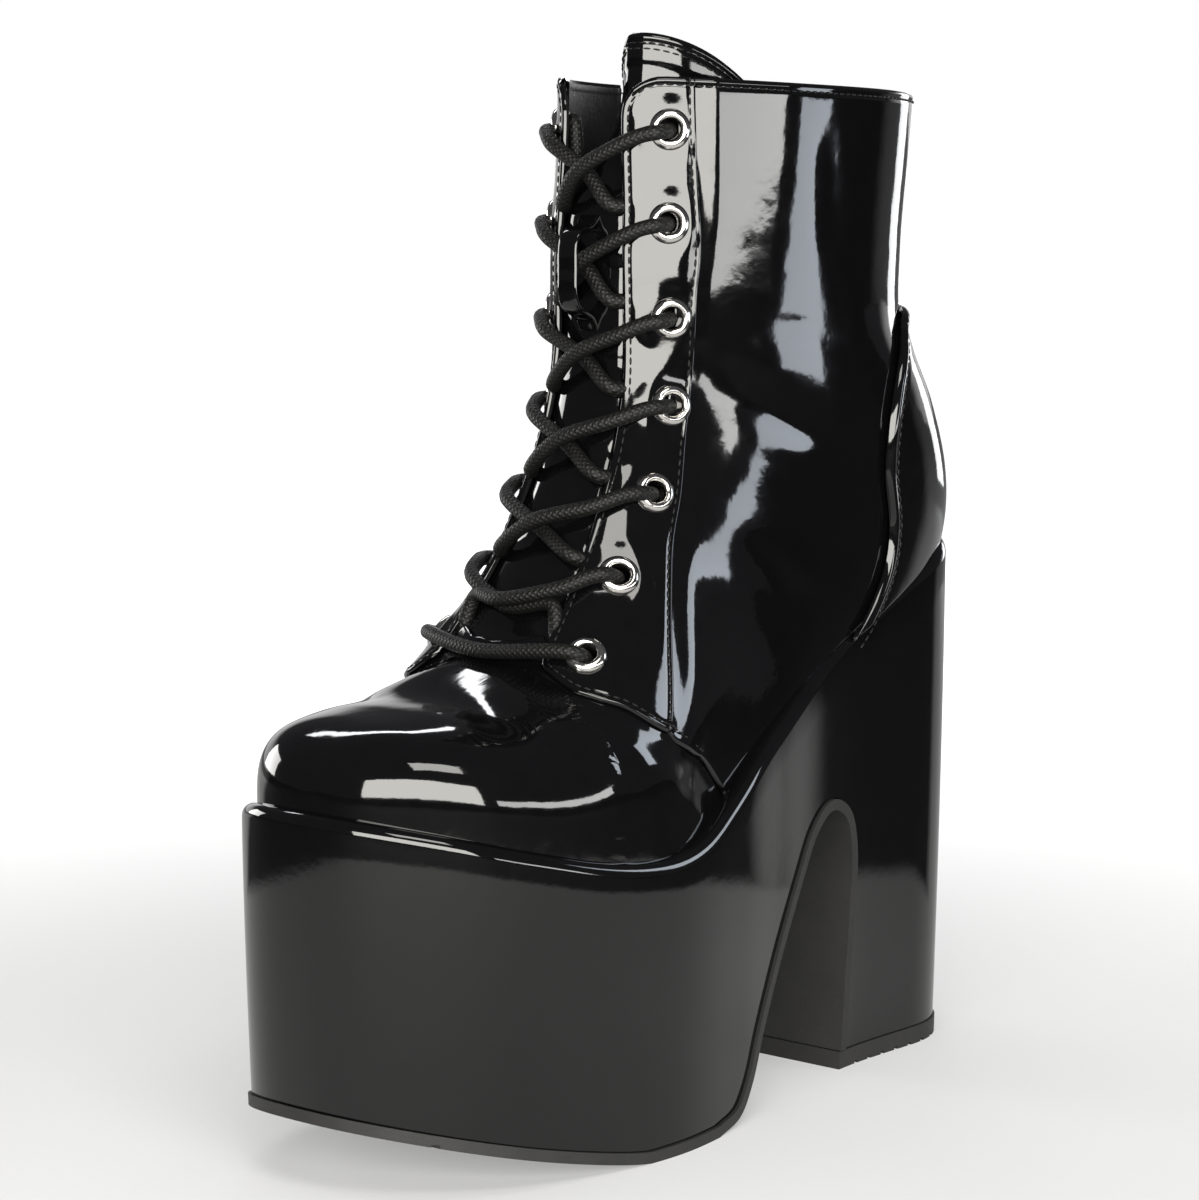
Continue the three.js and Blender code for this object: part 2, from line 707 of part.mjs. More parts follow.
const ZIP_TOP = 266; // the chain ends here, under the collar's edge
const SLIDER_Z = 259;
const PIN_OUT = 5; // hinge pin of the pull, out of the leather
const PIN_RADIUS = 0.6;
const EYE_HOLE = 0.95;
const EYE_OUTER = 1.8;
const PULL_LENGTH = 24;
const PULL_WIDTH = 5.4;
const PULL_THICK = 1.2;
const CHEEK = 0.9;
const EYE_WIDTH = 2.6;

// A point on the inner side at a given Y and Z, with the level way out of the surface there.
function innerSidePoint(y, z) {
  const turnFor = (t) => {
    let [from, to] = [-0.3, -2.8];
    for (let i = 0; i < 30; i += 1) {
      const half = (from + to) / 2;
      if (formPoint(t, half, 0).y < y) from = half;
      else to = half;
    }
    return (from + to) / 2;
  };
  let [low, high] = [6, 13];
  for (let i = 0; i < 30; i += 1) {
    const half = (low + high) / 2;
    if (formPoint(half, turnFor(half), 0).z < z) low = half;
    else high = half;
  }
  const turn = turnFor(low);
  const around = formPoint(low, turn + 0.02, 0).sub(formPoint(low, turn - 0.02, 0));
  const out = new THREE.Vector3(around.y, -around.x, 0).normalize();
  return { point: formPoint(low, turn, 0), out };
}

function makeZipChain() {
  const tape = form(WALL + GAP).subtract(form(WALL + GAP + 0.9)).intersect(zipBand(ZIP_TAPE, 3));
  const teeth = form(-0.2).subtract(form(WALL + GAP + 0.5)).intersect(zipBand(ZIP_TEETH, 3));
  const above = boxSolid(new THREE.Vector3(-80, -60, ZIP_TOP), new THREE.Vector3(80, 90, 320));
  return largest(tape.add(teeth).subtract(above));
}

// The slider's frame: X along the chain's width, Y up, Z out of the leather.
function sliderFrame() {
  const { point, out } = innerSidePoint(smooth([...ZIP].reverse(), "z", "y", SLIDER_Z), SLIDER_Z);
  return frameAt(point, out, new THREE.Vector3().crossVectors(new THREE.Vector3(0, 0, 1), out));
}

function slab(width, height, low, high, x = 0, y = 0) {
  const geometry = new THREE.BoxGeometry(width, height, high - low);
  return solid(geometry.translate(x, y, (low + high) / 2));
}

function pinCylinder(radius, length, sides) {
  return solid(new THREE.CylinderGeometry(radius, radius, length, sides).rotateZ(Math.PI / 2).translate(0, 0, PIN_OUT));
}

function makeSlider() {
  const outlineShape = new THREE.Shape();
  outlineShape.moveTo(-2.6, -6.5);
  outlineShape.lineTo(2.6, -6.5);
  outlineShape.quadraticCurveTo(4.4, -4, 4.4, 1);
  outlineShape.quadraticCurveTo(4.4, 5, 2.4, 5.5);
  outlineShape.lineTo(-2.4, 5.5);
  outlineShape.quadraticCurveTo(-4.4, 5, -4.4, 1);
  outlineShape.quadraticCurveTo(-4.4, -4, -2.6, -6.5);
  const plate = new THREE.ExtrudeGeometry(outlineShape, { depth: 1.6, bevelEnabled: false, curveSegments: 5 });
  let body = solid(plate.translate(0, 0, 1));
  const span = EYE_WIDTH / 2 + GAP;
  [-1, 1].forEach((side) => {
    body = body.add(slab(CHEEK, 4.4, 2, PIN_OUT + 1.1, side * (span + CHEEK / 2)));
  });
  return body.add(pinCylinder(PIN_RADIUS, 2 * span + CHEEK, 10));
}

// The tab hangs from the pin, straight down the shaft.
function makePull() {
  const eye = pinCylinder(EYE_OUTER, EYE_WIDTH, 12);
  const neck = slab(EYE_WIDTH, 5, PIN_OUT - 0.6, PIN_OUT + 0.6, 0, -3.4);
  const tab = slab(PULL_WIDTH, PULL_LENGTH - 5, PIN_OUT - PULL_THICK / 2, PIN_OUT + PULL_THICK / 2, 0, -PULL_LENGTH / 2 - 3);
  return eye.add(neck).add(tab).subtract(pinCylinder(EYE_HOLE, EYE_WIDTH + 1, 12));
}

// ---------- the boot ----------

const patent = (name) => new THREE.MeshStandardMaterial({ name, color: 0x0b0b0c, roughness: 0.08, metalness: 0 });
const materials = {
  upper: patent("black patent"),
  cover: patent("black patent cover"),
  rubber: new THREE.MeshStandardMaterial({ name: "black rubber", color: 0x1b1b1c, roughness: 0.7, metalness: 0 }),
  lining: new THREE.MeshStandardMaterial({ name: "black lining", color: 0x161616, roughness: 0.85, metalness: 0 }),
  cord: new THREE.MeshStandardMaterial({ name: "waxed cord", color: 0x151515, roughness: 0.55, metalness: 0 }),
  nickel: new THREE.MeshStandardMaterial({ name: "nickel", color: 0xd6d2cc, roughness: 0.2, metalness: 1 }),
  tape: new THREE.MeshStandardMaterial({ name: "zip tape", color: 0x101011, roughness: 0.8, metalness: 0 }),
};

// The boot's origin is under the middle of its bounding box.
const boot = new THREE.Group();
boot.position.set(-BOX_MIDDLE.x, -BOX_MIDDLE.y, 0);

function place(name, geometry, material, matrix) {
  const mesh = new THREE.Mesh(geometry, material);
  mesh.name = name;
  if (matrix) matrix.decompose(mesh.position, mesh.quaternion, mesh.scale);
  boot.add(mesh);
}

place("outsole", geometryOf(makeOutsole()), materials.rubber);
place("heel_lift", geometryOf(makeLift()), materials.rubber);
place("platform_heel", geometryOf(makePlatform()), materials.cover);
place("insole", geometryOf(makeInsole()), materials.lining);
place("upper", geometryOf(makeUpper()), materials.upper);
place("heel_counter", geometryOf(makeCounter()), materials.upper);
place("tongue", geometryOf(makeTongue()), materials.upper);
place("lace_keeper", geometryOf(makeKeeper()), materials.upper);
eyeletFrames().forEach(({ name, matrix }) => place(name, eyeletGeometry(), materials.nickel, matrix));
place("lace_bar", geometryOf(laceBar()), materials.cord);
EYELETS.slice(1).forEach((lower, i) => {
  place(`lace_cross_${i + 1}`, geometryOf(laceCross(EYELETS[i], lower)), materials.cord);
});
place("zip_chain", geometryOf(makeZipChain()), materials.tape);
place("zip_slider", geometryOf(makeSlider()), materials.nickel, sliderFrame());
place("zip_pull", geometryOf(makePull()), materials.nickel, sliderFrame());

export default boot;
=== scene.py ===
from math import radians

import bmesh
import bpy
import numpy as np
from mathutils import Matrix, Vector
from mathutils.kdtree import KDTree
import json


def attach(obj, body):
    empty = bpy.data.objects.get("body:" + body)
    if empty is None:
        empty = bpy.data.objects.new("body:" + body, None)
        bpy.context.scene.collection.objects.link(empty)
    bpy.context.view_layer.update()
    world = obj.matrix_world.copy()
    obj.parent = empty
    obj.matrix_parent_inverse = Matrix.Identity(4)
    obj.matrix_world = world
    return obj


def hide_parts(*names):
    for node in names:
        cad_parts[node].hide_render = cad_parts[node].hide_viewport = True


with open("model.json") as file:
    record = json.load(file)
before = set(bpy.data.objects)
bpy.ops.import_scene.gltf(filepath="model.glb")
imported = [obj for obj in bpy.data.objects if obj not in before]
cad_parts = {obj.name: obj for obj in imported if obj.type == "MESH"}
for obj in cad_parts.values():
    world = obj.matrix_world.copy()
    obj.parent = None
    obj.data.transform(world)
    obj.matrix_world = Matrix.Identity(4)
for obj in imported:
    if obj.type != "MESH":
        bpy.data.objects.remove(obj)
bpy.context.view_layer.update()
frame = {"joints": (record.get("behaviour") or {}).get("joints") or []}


# ---------- camera ----------
# A long lens at the height of the collar, three quarters round to the outer front of the shoe.

CAMERA_PLACE = (0.6443, -0.7505, 0.2653)
CAMERA_ROUND, CAMERA_DOWN = 41.23, 7.52
SENSOR, LENS = 36, 112.6

camera_data = bpy.data.cameras.new("camera")
camera_data.sensor_width, camera_data.lens = SENSOR, LENS
camera = bpy.data.objects.new("camera", camera_data)
camera.location = CAMERA_PLACE
camera.rotation_euler = (radians(90 - CAMERA_DOWN), 0, radians(CAMERA_ROUND))
bpy.context.scene.collection.objects.link(camera)
bpy.context.scene.camera = camera


# ---------- the last ----------
# The shape that the upper is pulled over. Nothing of it is left in the shoe, but every piece of
# the upper is placed by `t`, which runs from the toe tip over the instep to the collar, and
# `turn`, which runs round from the ridge in front: outwards to +pi, inwards to -pi at the back.
# Sizes are in millimetres from the heel's centre line.

MM = 0.001
TO_FRAME = np.array([-3.47, 3.38, 0])
TOE_TIP, HEEL_BACK = -128, 119
TOE_ROUND, HEEL_ROUND = 43, 31
RAND, TOE_RAND = 3, 4.5
BALL = -60
TIP_CLOSE, TIP_BULGE = 0.1, 0.8
TOE_RISE, RISE_POWER, RISE_START = 20, 2.6, 0.42
TOE_POWER, HEEL_POWER = 2.4, 2.2
UNDER_FEATHER = 9.4
WALL = 1.8

OUTLINE = np.array([  # y, lateral, medial half width of the platform
    (-128, 34, 38), (-100, 43, 41), (-80, 48, 43.5), (-55, 51.5, 45), (-35, 51.5, 44),
    (-10, 46.5, 38.5), (15, 39.5, 32.5), (40, 33, 29), (65, 29.5, 28), (119, 29, 28),
])
FEATHER = np.array([  # y, z of the platform's top edge
    (-128, 95.5), (-110, 90.8), (-90, 85.2), (-65, 79.2), (-45, 77.4), (-30, 79.8), (-16, 86.6),
    (3, 97.2), (27, 108.4), (51, 120.4), (70, 128.4), (90, 137), (119, 147),
])
TOE_RIDGE = np.array([(-124, 111.5), (-112, 114), (-95, 116), (-78, 117.5), (-60, 125)])
SECTIONS = np.array([  # t, ridge y, z, base y, z, lateral, medial, waist, power in front, behind
    (1, -60, 125, -60, 69.2, 47.9, 41.8, 0.36, 2.3, 9),
    (2, -50.5, 137.5, -38, 67, 48, 41, 0.34, 2.1, 9),
    (3, -41, 152.5, -3, 83, 41, 34, 0.36, 2.1, 8),
    (4, -33, 166.5, 41, 102, 32.5, 29.5, 0.4, 2.5, 6),
    (5, -27, 179.5, 79, 117, 31, 29.5, 0.4, 2.6, 4),
    (6, -23, 191.5, 105, 127.5, 31, 30.5, 0.42, 2.6, 2.8),
    (7, -20.7, 203, 116.5, 142.5, 31.5, 31.5, 0.42, 2.6, 2.4),
    (8, -20, 215, 118.7, 158, 32.5, 33, 0.44, 2.6, 2.2),
    (9, -20, 228, 113, 176, 33, 33.5, 0.46, 2.5, 2.1),
    (10, -19.5, 241, 101.5, 198, 33.5, 33.5, 0.48, 2.3, 2),
    (11, -19.5, 254, 100.5, 224, 34.5, 33.2, 0.5, 2.15, 2),
    (12, -19.5, 268, 103, 252, 36, 33.2, 0.5, 2.1, 2),
    (13, -19.5, 292, 106, 286, 38, 34, 0.5, 2.1, 2),
])
COLLAR = np.array([(-60, 276), (-20, 273), (20, 271), (70, 269), (130, 266)])
THROAT = np.array([  # z, lateral, medial edge of the facings
    (134, 16.5, -16.5), (148, 15.3, -15.3), (166, 14, -14.3), (188, 12.5, -13.3),
    (210, 11, -12.5), (235, 10.5, -12), (262, 9.7, -10.5),
])
EYELETS = np.array([  # z, lateral, medial, top row first
    (259, 20, -20.5), (235, 20, -21.5), (210.5, 20.5, -22), (188, 21, -22.5),
    (166, 22.5, -23.5), (146, 24.5, -25.5), (127.5, 27.8, -28.5),
])
LATERAL, MEDIAL = 1, 2
SIDES = {LATERAL: "lateral", MEDIAL: "medial"}
FRONT_VIEW, SIDE_VIEW, ALL_ROUND = [0, 2], [1, 2], [0, 1, 2]
NUDGE = 1e-4


def smooth(rows, at):
    """Smooth curve through a table's rows: its other columns where the first one is `at`."""
    keys, values, at = rows[:, 0], rows[:, 1:], np.asarray(at, float)
    steps = np.arange(len(keys))
    before, after = np.maximum(steps - 1, 0), np.minimum(steps + 1, len(keys) - 1)
    slopes = (values[after] - values[before]) / (keys[after] - keys[before])[:, None]
    i = np.clip(np.searchsorted(keys, at) - 1, 0, len(keys) - 2)
    width = (keys[i + 1] - keys[i])[..., None]
    u = np.clip((at - keys[i])[..., None] / width, 0, 1)
    rise = u * u * (3 - 2 * u)
    leave, arrive = u * (1 - u) ** 2 * width, u * u * (u - 1) * width
    level_part = values[i] * (1 - rise) + values[i + 1] * rise
    return level_part + leave * slopes[i] + arrive * slopes[i + 1]


def eased(at, start, end):
    """0 before start, 1 after end, smooth between."""
    u = np.clip((at - start) / (end - start), 0, 1)
    return u * u * (3 - 2 * u)


def round_end(distance, length, power):
    return (1 - (1 - np.clip(distance / length, 0, 1)) ** power) ** (1 / power)


def feather(y):
    return smooth(FEATHER, y)[..., 0]


def section(t):
    t = np.asarray(t, float)
    behind = smooth(SECTIONS, np.maximum(t, 1))
    tip = TOE_TIP + TOE_RAND
    y = tip + (BALL - tip) * (1 - np.cos(np.clip(t, 0, 1) * np.pi / 2))
    y = y - TIP_BULGE * (1 - np.clip(1 + t / TIP_CLOSE, 0, 1)) ** 0.5
    place = np.maximum(y, TOE_TIP + 1)
    base = feather(place) - UNDER_FEATHER
    swell = round_end(y - tip + TIP_BULGE, TOE_RISE, RISE_POWER)
    narrow = round_end(y - tip + TIP_BULGE, TOE_ROUND - TOE_RAND, TOE_POWER)
    rand = TOE_RAND + (RAND - TOE_RAND) * eased(y, TOE_TIP, -90)
    top = smooth(TOE_RIDGE, place)[..., 0]
    half = (smooth(OUTLINE, place) - rand[..., None]) * narrow[..., None]
    ridge = base + (top - base) * (RISE_START + (1 - RISE_START) * swell)
    rest = (0.36 + 0 * y, 3.2 - 0.8 * t, 9 + 0 * y)
    ahead = np.stack([y, ridge, y, base, half[..., 0], half[..., 1], *rest], -1)
    return np.where((t < 1)[..., None], ahead, behind)


def on_last(t, turn):
    s = section(t)
    ridge, base = s[..., 0:2], s[..., 2:4]
    in_front = np.cos(turn) >= 0
    power = np.where(in_front, s[..., 7], s[..., 8])
    down, out = np.abs(np.cos(turn)), np.abs(np.sin(turn))
    size = (down**power + out**power) ** (1 / power)
    side = np.where(np.sin(turn) >= 0, s[..., 4], -s[..., 5])
    middle = base + (ridge - base) * s[..., 6:7]
    end = np.where(in_front[..., None], ridge, base)
    place = middle + (end - middle) * (down / size)[..., None]
    return np.concatenate([(side * out / size)[..., None], place], -1)


def slopes(t, turn):
    up = (on_last(t + NUDGE, turn) - on_last(t - NUDGE, turn)) / (2 * NUDGE)
    round_it = (on_last(t, turn + NUDGE) - on_last(t, turn - NUDGE)) / (2 * NUDGE)
    return up, round_it


def outward(t, turn):
    up, round_it = slopes(np.maximum(t, 0.004 - TIP_CLOSE), turn)
    out = np.cross(round_it, up)
    return out / np.maximum(np.linalg.norm(out, axis=-1, keepdims=True), 1e-9)


def skin(places, lift=0.0):
    """Points `lift` above the last at (t, turn) places."""
    t, turn = np.moveaxis(np.asarray(places, float), -1, 0)
    lift = np.broadcast_to(lift, t.shape)[..., None]
    return on_last(t, turn) + outward(t, turn) * lift


def find(targets, axes, turns=(-np.pi, np.pi), start=None):
    """Places on the last of points that are known in a front or side view, or nearly."""
    targets = np.asarray(targets, float).reshape(-1, len(axes))
    if start is None:
        t, turn = np.meshgrid(np.linspace(0.02, 12.98, 130), np.linspace(*turns, 90))
        seen = on_last(t, turn)[..., axes].reshape(-1, len(axes))
        near = [np.linalg.norm(seen - target, axis=1).argmin() for target in targets]
        start = np.stack([t.flat[near], turn.flat[near]], 1)
    place = np.array(start, float)
    for _ in range(12):
        short = targets - on_last(*place.T)[:, axes]
        up, round_it = slopes(*place.T)
        across = np.linalg.pinv(np.stack([up[:, axes], round_it[:, axes]], 2))
        place += np.clip((across @ short[..., None])[..., 0], -0.4, 0.4)
        place[:, 0] = np.clip(place[:, 0], -0.09, 13)
    return place


def over(x, z, lift):
    """A point `lift` above the front of the last at a given x and z."""
    return skin(find([(x, z)], FRONT_VIEW, (-1.45, 1.45)), lift)[0]


def throat_edge(side, z):
    return smooth(THROAT, max(z, THROAT[0, 0]))[side - 1]


def framed(points):
    """From the last's millimetres to the frame's metres."""
    return (np.asarray(points) + TO_FRAME) * MM


def lengths(points):
    steps = np.linalg.norm(np.diff(points, axis=0), axis=1)
    return np.concatenate([[0], np.cumsum(steps)])


# ---------- mesh and finish helpers, first used by the lace ----------


def grid_mesh(points, uv=None, close=False):
    """A net of faces over a net of points: rows along, columns across."""
    points = np.asarray(points)
    rows, columns = points.shape[:2]
    bm = bmesh.new()
    bmesh.ops.create_grid(bm, x_segments=columns - 1, y_segments=rows - 1, size=1)
    for vert, place in zip(bm.verts, points.reshape(-1, 3)):
        vert.co = place
    if uv is not None:
        layer, flat = bm.loops.layers.uv.new("UVMap"), np.asarray(uv).reshape(-1, 2)
        bm.verts.index_update()
        for face in bm.faces:
            for loop in face.loops:
                loop[layer].uv = flat[loop.vert.index]
    if close:
        bmesh.ops.remove_doubles(bm, verts=bm.verts, dist=2e-6)
        bmesh.ops.dissolve_degenerate(bm, dist=1e-7, edges=bm.edges)
    return bm


def piece(name, bm, finishes, body="boot", flip=None, sharp=38):
    """Makes the object of a finished mesh, with its faces pointing outwards."""
    if flip is None:
        bmesh.ops.recalc_face_normals(bm, faces=bm.faces)
    elif flip:
        bmesh.ops.reverse_faces(bm, faces=bm.faces)
    mesh = bpy.data.meshes.new(name)
    bm.to_mesh(mesh)
    bm.free()
    mesh.shade_smooth()
    if sharp:
        mesh.set_sharp_from_angle(angle=radians(sharp))
    for finish in finishes:
        mesh.materials.append(finish.material)
    made = bpy.data.objects.new(name, mesh)
    bpy.context.scene.collection.objects.link(made)
    if body:
        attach(made, body)
    return made


class Wire:
    """A socket of one finish's nodes, which can stand in a sum."""

    def __init__(self, finish, socket):
        self.finish, self.socket = finish, socket

    def sum(self, operation, *others):
        return self.finish.node("ShaderNodeMath", {"operation": operation}, dict(enumerate(others)))

    def __add__(self, other):
        return self.sum("ADD", self, other)

    def __sub__(self, other):
        return self.sum("SUBTRACT", self, other)

    def __rsub__(self, other):
        return self.sum("SUBTRACT", other, self)

    def __mul__(self, other):
        return self.sum("MULTIPLY", self, other)

    def __pow__(self, other):
        return self.sum("POWER", self, other)

    def __gt__(self, other):
        return self.sum("GREATER_THAN", self, other)

    def __abs__(self):
        return self.sum("ABSOLUTE", self)

    __radd__, __rmul__ = __add__, __mul__

    def sine(self):
        return self.sum("SINE", self)


class Nodes:
    """The nodes of a material or of the studio's surroundings."""

    def __init__(self, owner):
        owner.use_nodes = True
        self.tree = owner.node_tree

    def node(self, kind, settings=None, inputs=None, output=0):
        made = self.tree.nodes.new(kind)
        for key, value in (settings or {}).items():
            if key == "stops":
                ramp = made.color_ramp.elements
                while len(ramp) < len(value):
                    ramp.new(0.5)
                for stop, (place, colour) in zip(ramp, value):
                    stop.position, stop.color = place, (*colour, 1)
            else:
                setattr(made, key, value)
        for key, value in (inputs or {}).items():
            self.join(value, made.inputs[key])
        return Wire(self, made.outputs[output])

    def join(self, value, socket):
        if isinstance(value, Wire):
            self.tree.links.new(value.socket, socket)
        else:
            socket.default_value = value

    def mix(self, share, dark, light):
        """Colour between two, by a share from 0 to 1."""
        dark, light = (c if isinstance(c, Wire) else (*c, 1) for c in (dark, light))
        inputs = {0: share, 6: dark, 7: light}
        return self.node("ShaderNodeMix", {"data_type": "RGBA"}, inputs, output=2)


    def ramp(self, value, start, end, low=0, high=1):
        """Smoothly from `low` to `high` while a value goes from `start` to `end`."""
        inputs = {0: value, 1: start, 2: end, 3: low, 4: high}
        return self.node("ShaderNodeMapRange", {"interpolation_type": "SMOOTHSTEP"}, inputs)

    def vector_sum(self, operation, *vectors):
        """A number from vectors."""
        inputs = dict(enumerate(vectors))
        return self.node("ShaderNodeVectorMath", {"operation": operation}, inputs, output="Value")


class Finish(Nodes):
    """A material: its shader's constants, then the nodes that vary over the surface."""

    def __init__(self, name, **constants):
        self.material = bpy.data.materials.new(name)
        super().__init__(self.material)
        self.shader = self.tree.nodes["Principled BSDF"]
        self.height = None
        for socket, value in constants.items():
            self.shader.inputs[socket.replace("_", " ")].default_value = value

    def feed(self, socket, value):
        self.join(value, self.shader.inputs[socket])

    def place(self, stretch=(1, 1, 1)):
        """Object coordinates, in metres, stretched."""
        where = self.node("ShaderNodeTexCoord", output="Object")
        return self.node("ShaderNodeMapping", {}, {"Vector": where, "Scale": stretch})

    def noise(self, size, detail=2, rough=0.5, stretch=(1, 1, 1), at=None):
        """Noise about 0.5 whose grains are `size` millimetres across."""
        at = at or self.place(stretch)
        inputs = {"Vector": at, "Scale": 1 / (size * MM), "Detail": detail, "Roughness": rough}
        return self.node("ShaderNodeTexNoise", {}, inputs)

    def raise_by(self, height, deep):
        """Bumps of `height`, from 0 to 1, `deep` millimetres deep."""
        term = height * (deep * MM)
        self.height = term if self.height is None else self.height + term

    def finish_bump(self):
        bump = {"Height": self.height, "Distance": 1.0, "Strength": 1.0}
        self.feed("Normal", self.node("ShaderNodeBump", {}, bump))
        return self


def mottled(name, grain, dark, light, deep, gloss=None, **constants):
    """A finish whose colour, roughness and surface all follow one fine grain."""
    made = Finish(name, **constants)
    speckle = made.noise(*grain)
    made.feed("Base Color", made.mix(speckle, dark, light))
    if gloss:
        made.feed("Roughness", gloss[0] + speckle * gloss[1])
    made.raise_by(speckle, deep)
    return made


# ---------- lace ----------
# One round waxed cotton lace, 4 mm thick and braided. It starts inside the top outer eyelet,
# crosses the tongue down to the bottom pair, runs over as a bar and crosses back up to the top
# inner eyelet. Each strand goes into its eyelet from outside and comes out under the facing.

LACE = 4.0
OVER_FACING = LACE / 2 + 0.9
UNDER_FACING = -WALL - LACE / 2 - 0.3
TOP_STRAND, LOW_STRAND = 3.3, -0.4
BRAID_STRANDS, BRAID_PITCH = 6, 1.6 * MM
SIGN = {LATERAL: 1, MEDIAL: -1}


def through_eyelet(side, row):
    """In over the facing's edge, through the eyelet and on under the facing to its edge."""
    z, x, sign = EYELETS[row, 0], EYELETS[row, side], SIGN[side]
    edge = throat_edge(side, z)
    under = [(0, -0.3, -1.2), (-1.4, 0.3, -3.4), (-4.5, 2.2, UNDER_FACING)]
    near = [(edge - x) * sign + 1.5, 4.2, UNDER_FACING + 1.4]
    path = [over(edge, z - 4.2, OVER_FACING), over((edge + x) / 2, z - 1.5, OVER_FACING)]
    path.append(over(x - 2.1 * sign, z - 0.7, OVER_FACING - 0.3))
    path += [over(x + dx * sign, z + dz, lift) for dx, dz, lift in under]
    if row > 0:
        path.append(over(x + near[0] * sign, z + near[1], near[2]))
    else:
        path.append(over(x - 6 * sign, z - 4, UNDER_FACING - 0.6))
        path.append(over(x - 7 * sign, z - 10, UNDER_FACING - 0.6))
    return path


def crossing(start_side, row, lift):
    """From under one facing beside `row` to mid throat, on the way to the row above."""
    z = max(EYELETS[row, 0], THROAT[0, 0]) + 4.5
    start = over(throat_edge(start_side, EYELETS[row, 0]) - 2.9 * SIGN[start_side], z, 0.4)
    middle = (throat_edge(LATERAL, z) + throat_edge(MEDIAL, z)) / 2
    return [start, over(middle, (EYELETS[row, 0] + EYELETS[row - 1, 0]) / 2 + 1, lift)]


def strand(side):
    """Down from the top eyelet of one side, crossing at each row, to the bottom pair."""
    path = through_eyelet(side, 0)[::-1]
    for row in range(1, len(EYELETS)):
        lift = TOP_STRAND if side == LATERAL else LOW_STRAND
        side = MEDIAL if side == LATERAL else LATERAL
        path += crossing(side, row, lift)[::-1] + through_eyelet(side, row)[::-1]
    return path[:-2]


def rounded_path(points, step):
    """A smooth line through the points, sampled every `step`."""
    points = np.array(points)
    ends = np.concatenate([[2 * points[0] - points[1]], points, [2 * points[-1] - points[-2]]])
    line = []
    for a, b, c, d in zip(ends, ends[1:], ends[2:], ends[3:]):
        gaps = [np.linalg.norm(q - p) ** 0.5 for p, q in ((a, b), (b, c), (c, d))]
        leave = (b - a) / gaps[0] - (c - a) / (gaps[0] + gaps[1]) + (c - b) / gaps[1]
        arrive = (c - b) / gaps[1] - (d - b) / (gaps[1] + gaps[2]) + (d - c) / gaps[2]
        for u in np.linspace(0, 1, 12, endpoint=False):
            rise = u * u * (3 - 2 * u)
            push = u * (1 - u) ** 2 * leave * gaps[1] + u * u * (u - 1) * arrive * gaps[1]
            line.append(b + (c - b) * rise + push)
    line = np.array(line + [points[-1]])
    far = lengths(line)
    at = np.linspace(0, far[-1], int(far[-1] / step) + 1)
    return np.stack([np.interp(at, far, column) for column in line.T], 1)


def tube_net(line, radius, sides, hint=(0.3, 0.2, 1)):
    """Points round a line, with u round it and v along it in metres."""
    ahead = np.gradient(line, axis=0)
    ahead /= np.linalg.norm(ahead, axis=1, keepdims=True)
    across = np.zeros_like(line)
    last = np.cross(ahead[0], hint)
    for i, way in enumerate(ahead):
        last = last - way * last.dot(way)
        last /= np.linalg.norm(last)
        across[i] = last
    third = np.cross(ahead, across)
    turn = np.linspace(0, 2 * np.pi, sides + 1)
    radius = np.broadcast_to(radius, len(line))[:, None, None]
    turned = turn[None, :, None]
    ring = across[:, None] * np.cos(turned) + third[:, None] * np.sin(turned)
    uv = np.zeros((len(line), sides + 1, 2))
    uv[..., 0] = turn / (2 * np.pi)
    uv[..., 1] = lengths(line)[:, None] * MM
    return line[:, None] + ring * radius, uv


lace_finish = Finish("waxed braid", Specular_IOR_Level=0.3)
lace_uv = lace_finish.node("ShaderNodeTexCoord", output="UV")
lace_u, lace_v = (
    lace_finish.node("ShaderNodeSeparateXYZ", {}, {0: lace_uv}, output=axis) for axis in (0, 1)
)
around, onward = lace_u * (BRAID_STRANDS * np.pi), lace_v * (np.pi / BRAID_PITCH)
braid = abs((around + onward).sine()) * abs((around - onward).sine())
lace_fuzz = lace_finish.noise(0.35, 3)
# Painted shade: the colour darkens into the grooves between the braid's strands, where the bump
# sinks; the fuzz adds random tone.
painted_braid_shade_and_fuzz = braid * 0.7 + lace_fuzz * 0.3
lace_black = lace_finish.mix(painted_braid_shade_and_fuzz, (0.0008, 0.0008, 0.0008), (0.005, 0.0047, 0.0045))
lace_finish.feed("Base Color", lace_black)
lace_finish.feed("Roughness", 0.62 - braid * 0.2)
lace_finish.raise_by(braid, 0.17)
lace_finish.raise_by(lace_fuzz, 0.05)
lace_finish.finish_bump()

lace_line = strand(LATERAL) + [over(0, 125, OVER_FACING - 0.4)]
lace_line += list(reversed(strand(MEDIAL)))
lace_line = rounded_path(lace_line, 0.6)
lace_net, lace_map = tube_net(lace_line, LACE / 2, 14)
lace_mesh = grid_mesh(framed(lace_net), lace_map, close=True)
bmesh.ops.holes_fill(lace_mesh, edges=lace_mesh.edges)
lace = piece("lace", lace_mesh, [lace_finish], sharp=None)
lace_nodes = ["lace_bar"] + [f"lace_cross_{i}" for i in range(1, 7)]
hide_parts(*lace_nodes)


# ---------- facings ----------
# The two front edges that carry the eyelets: patent leather over a backing, 2 mm thick, folded
# round its edges and stitched. Each is lapped over the vamp below and over the shaft behind.

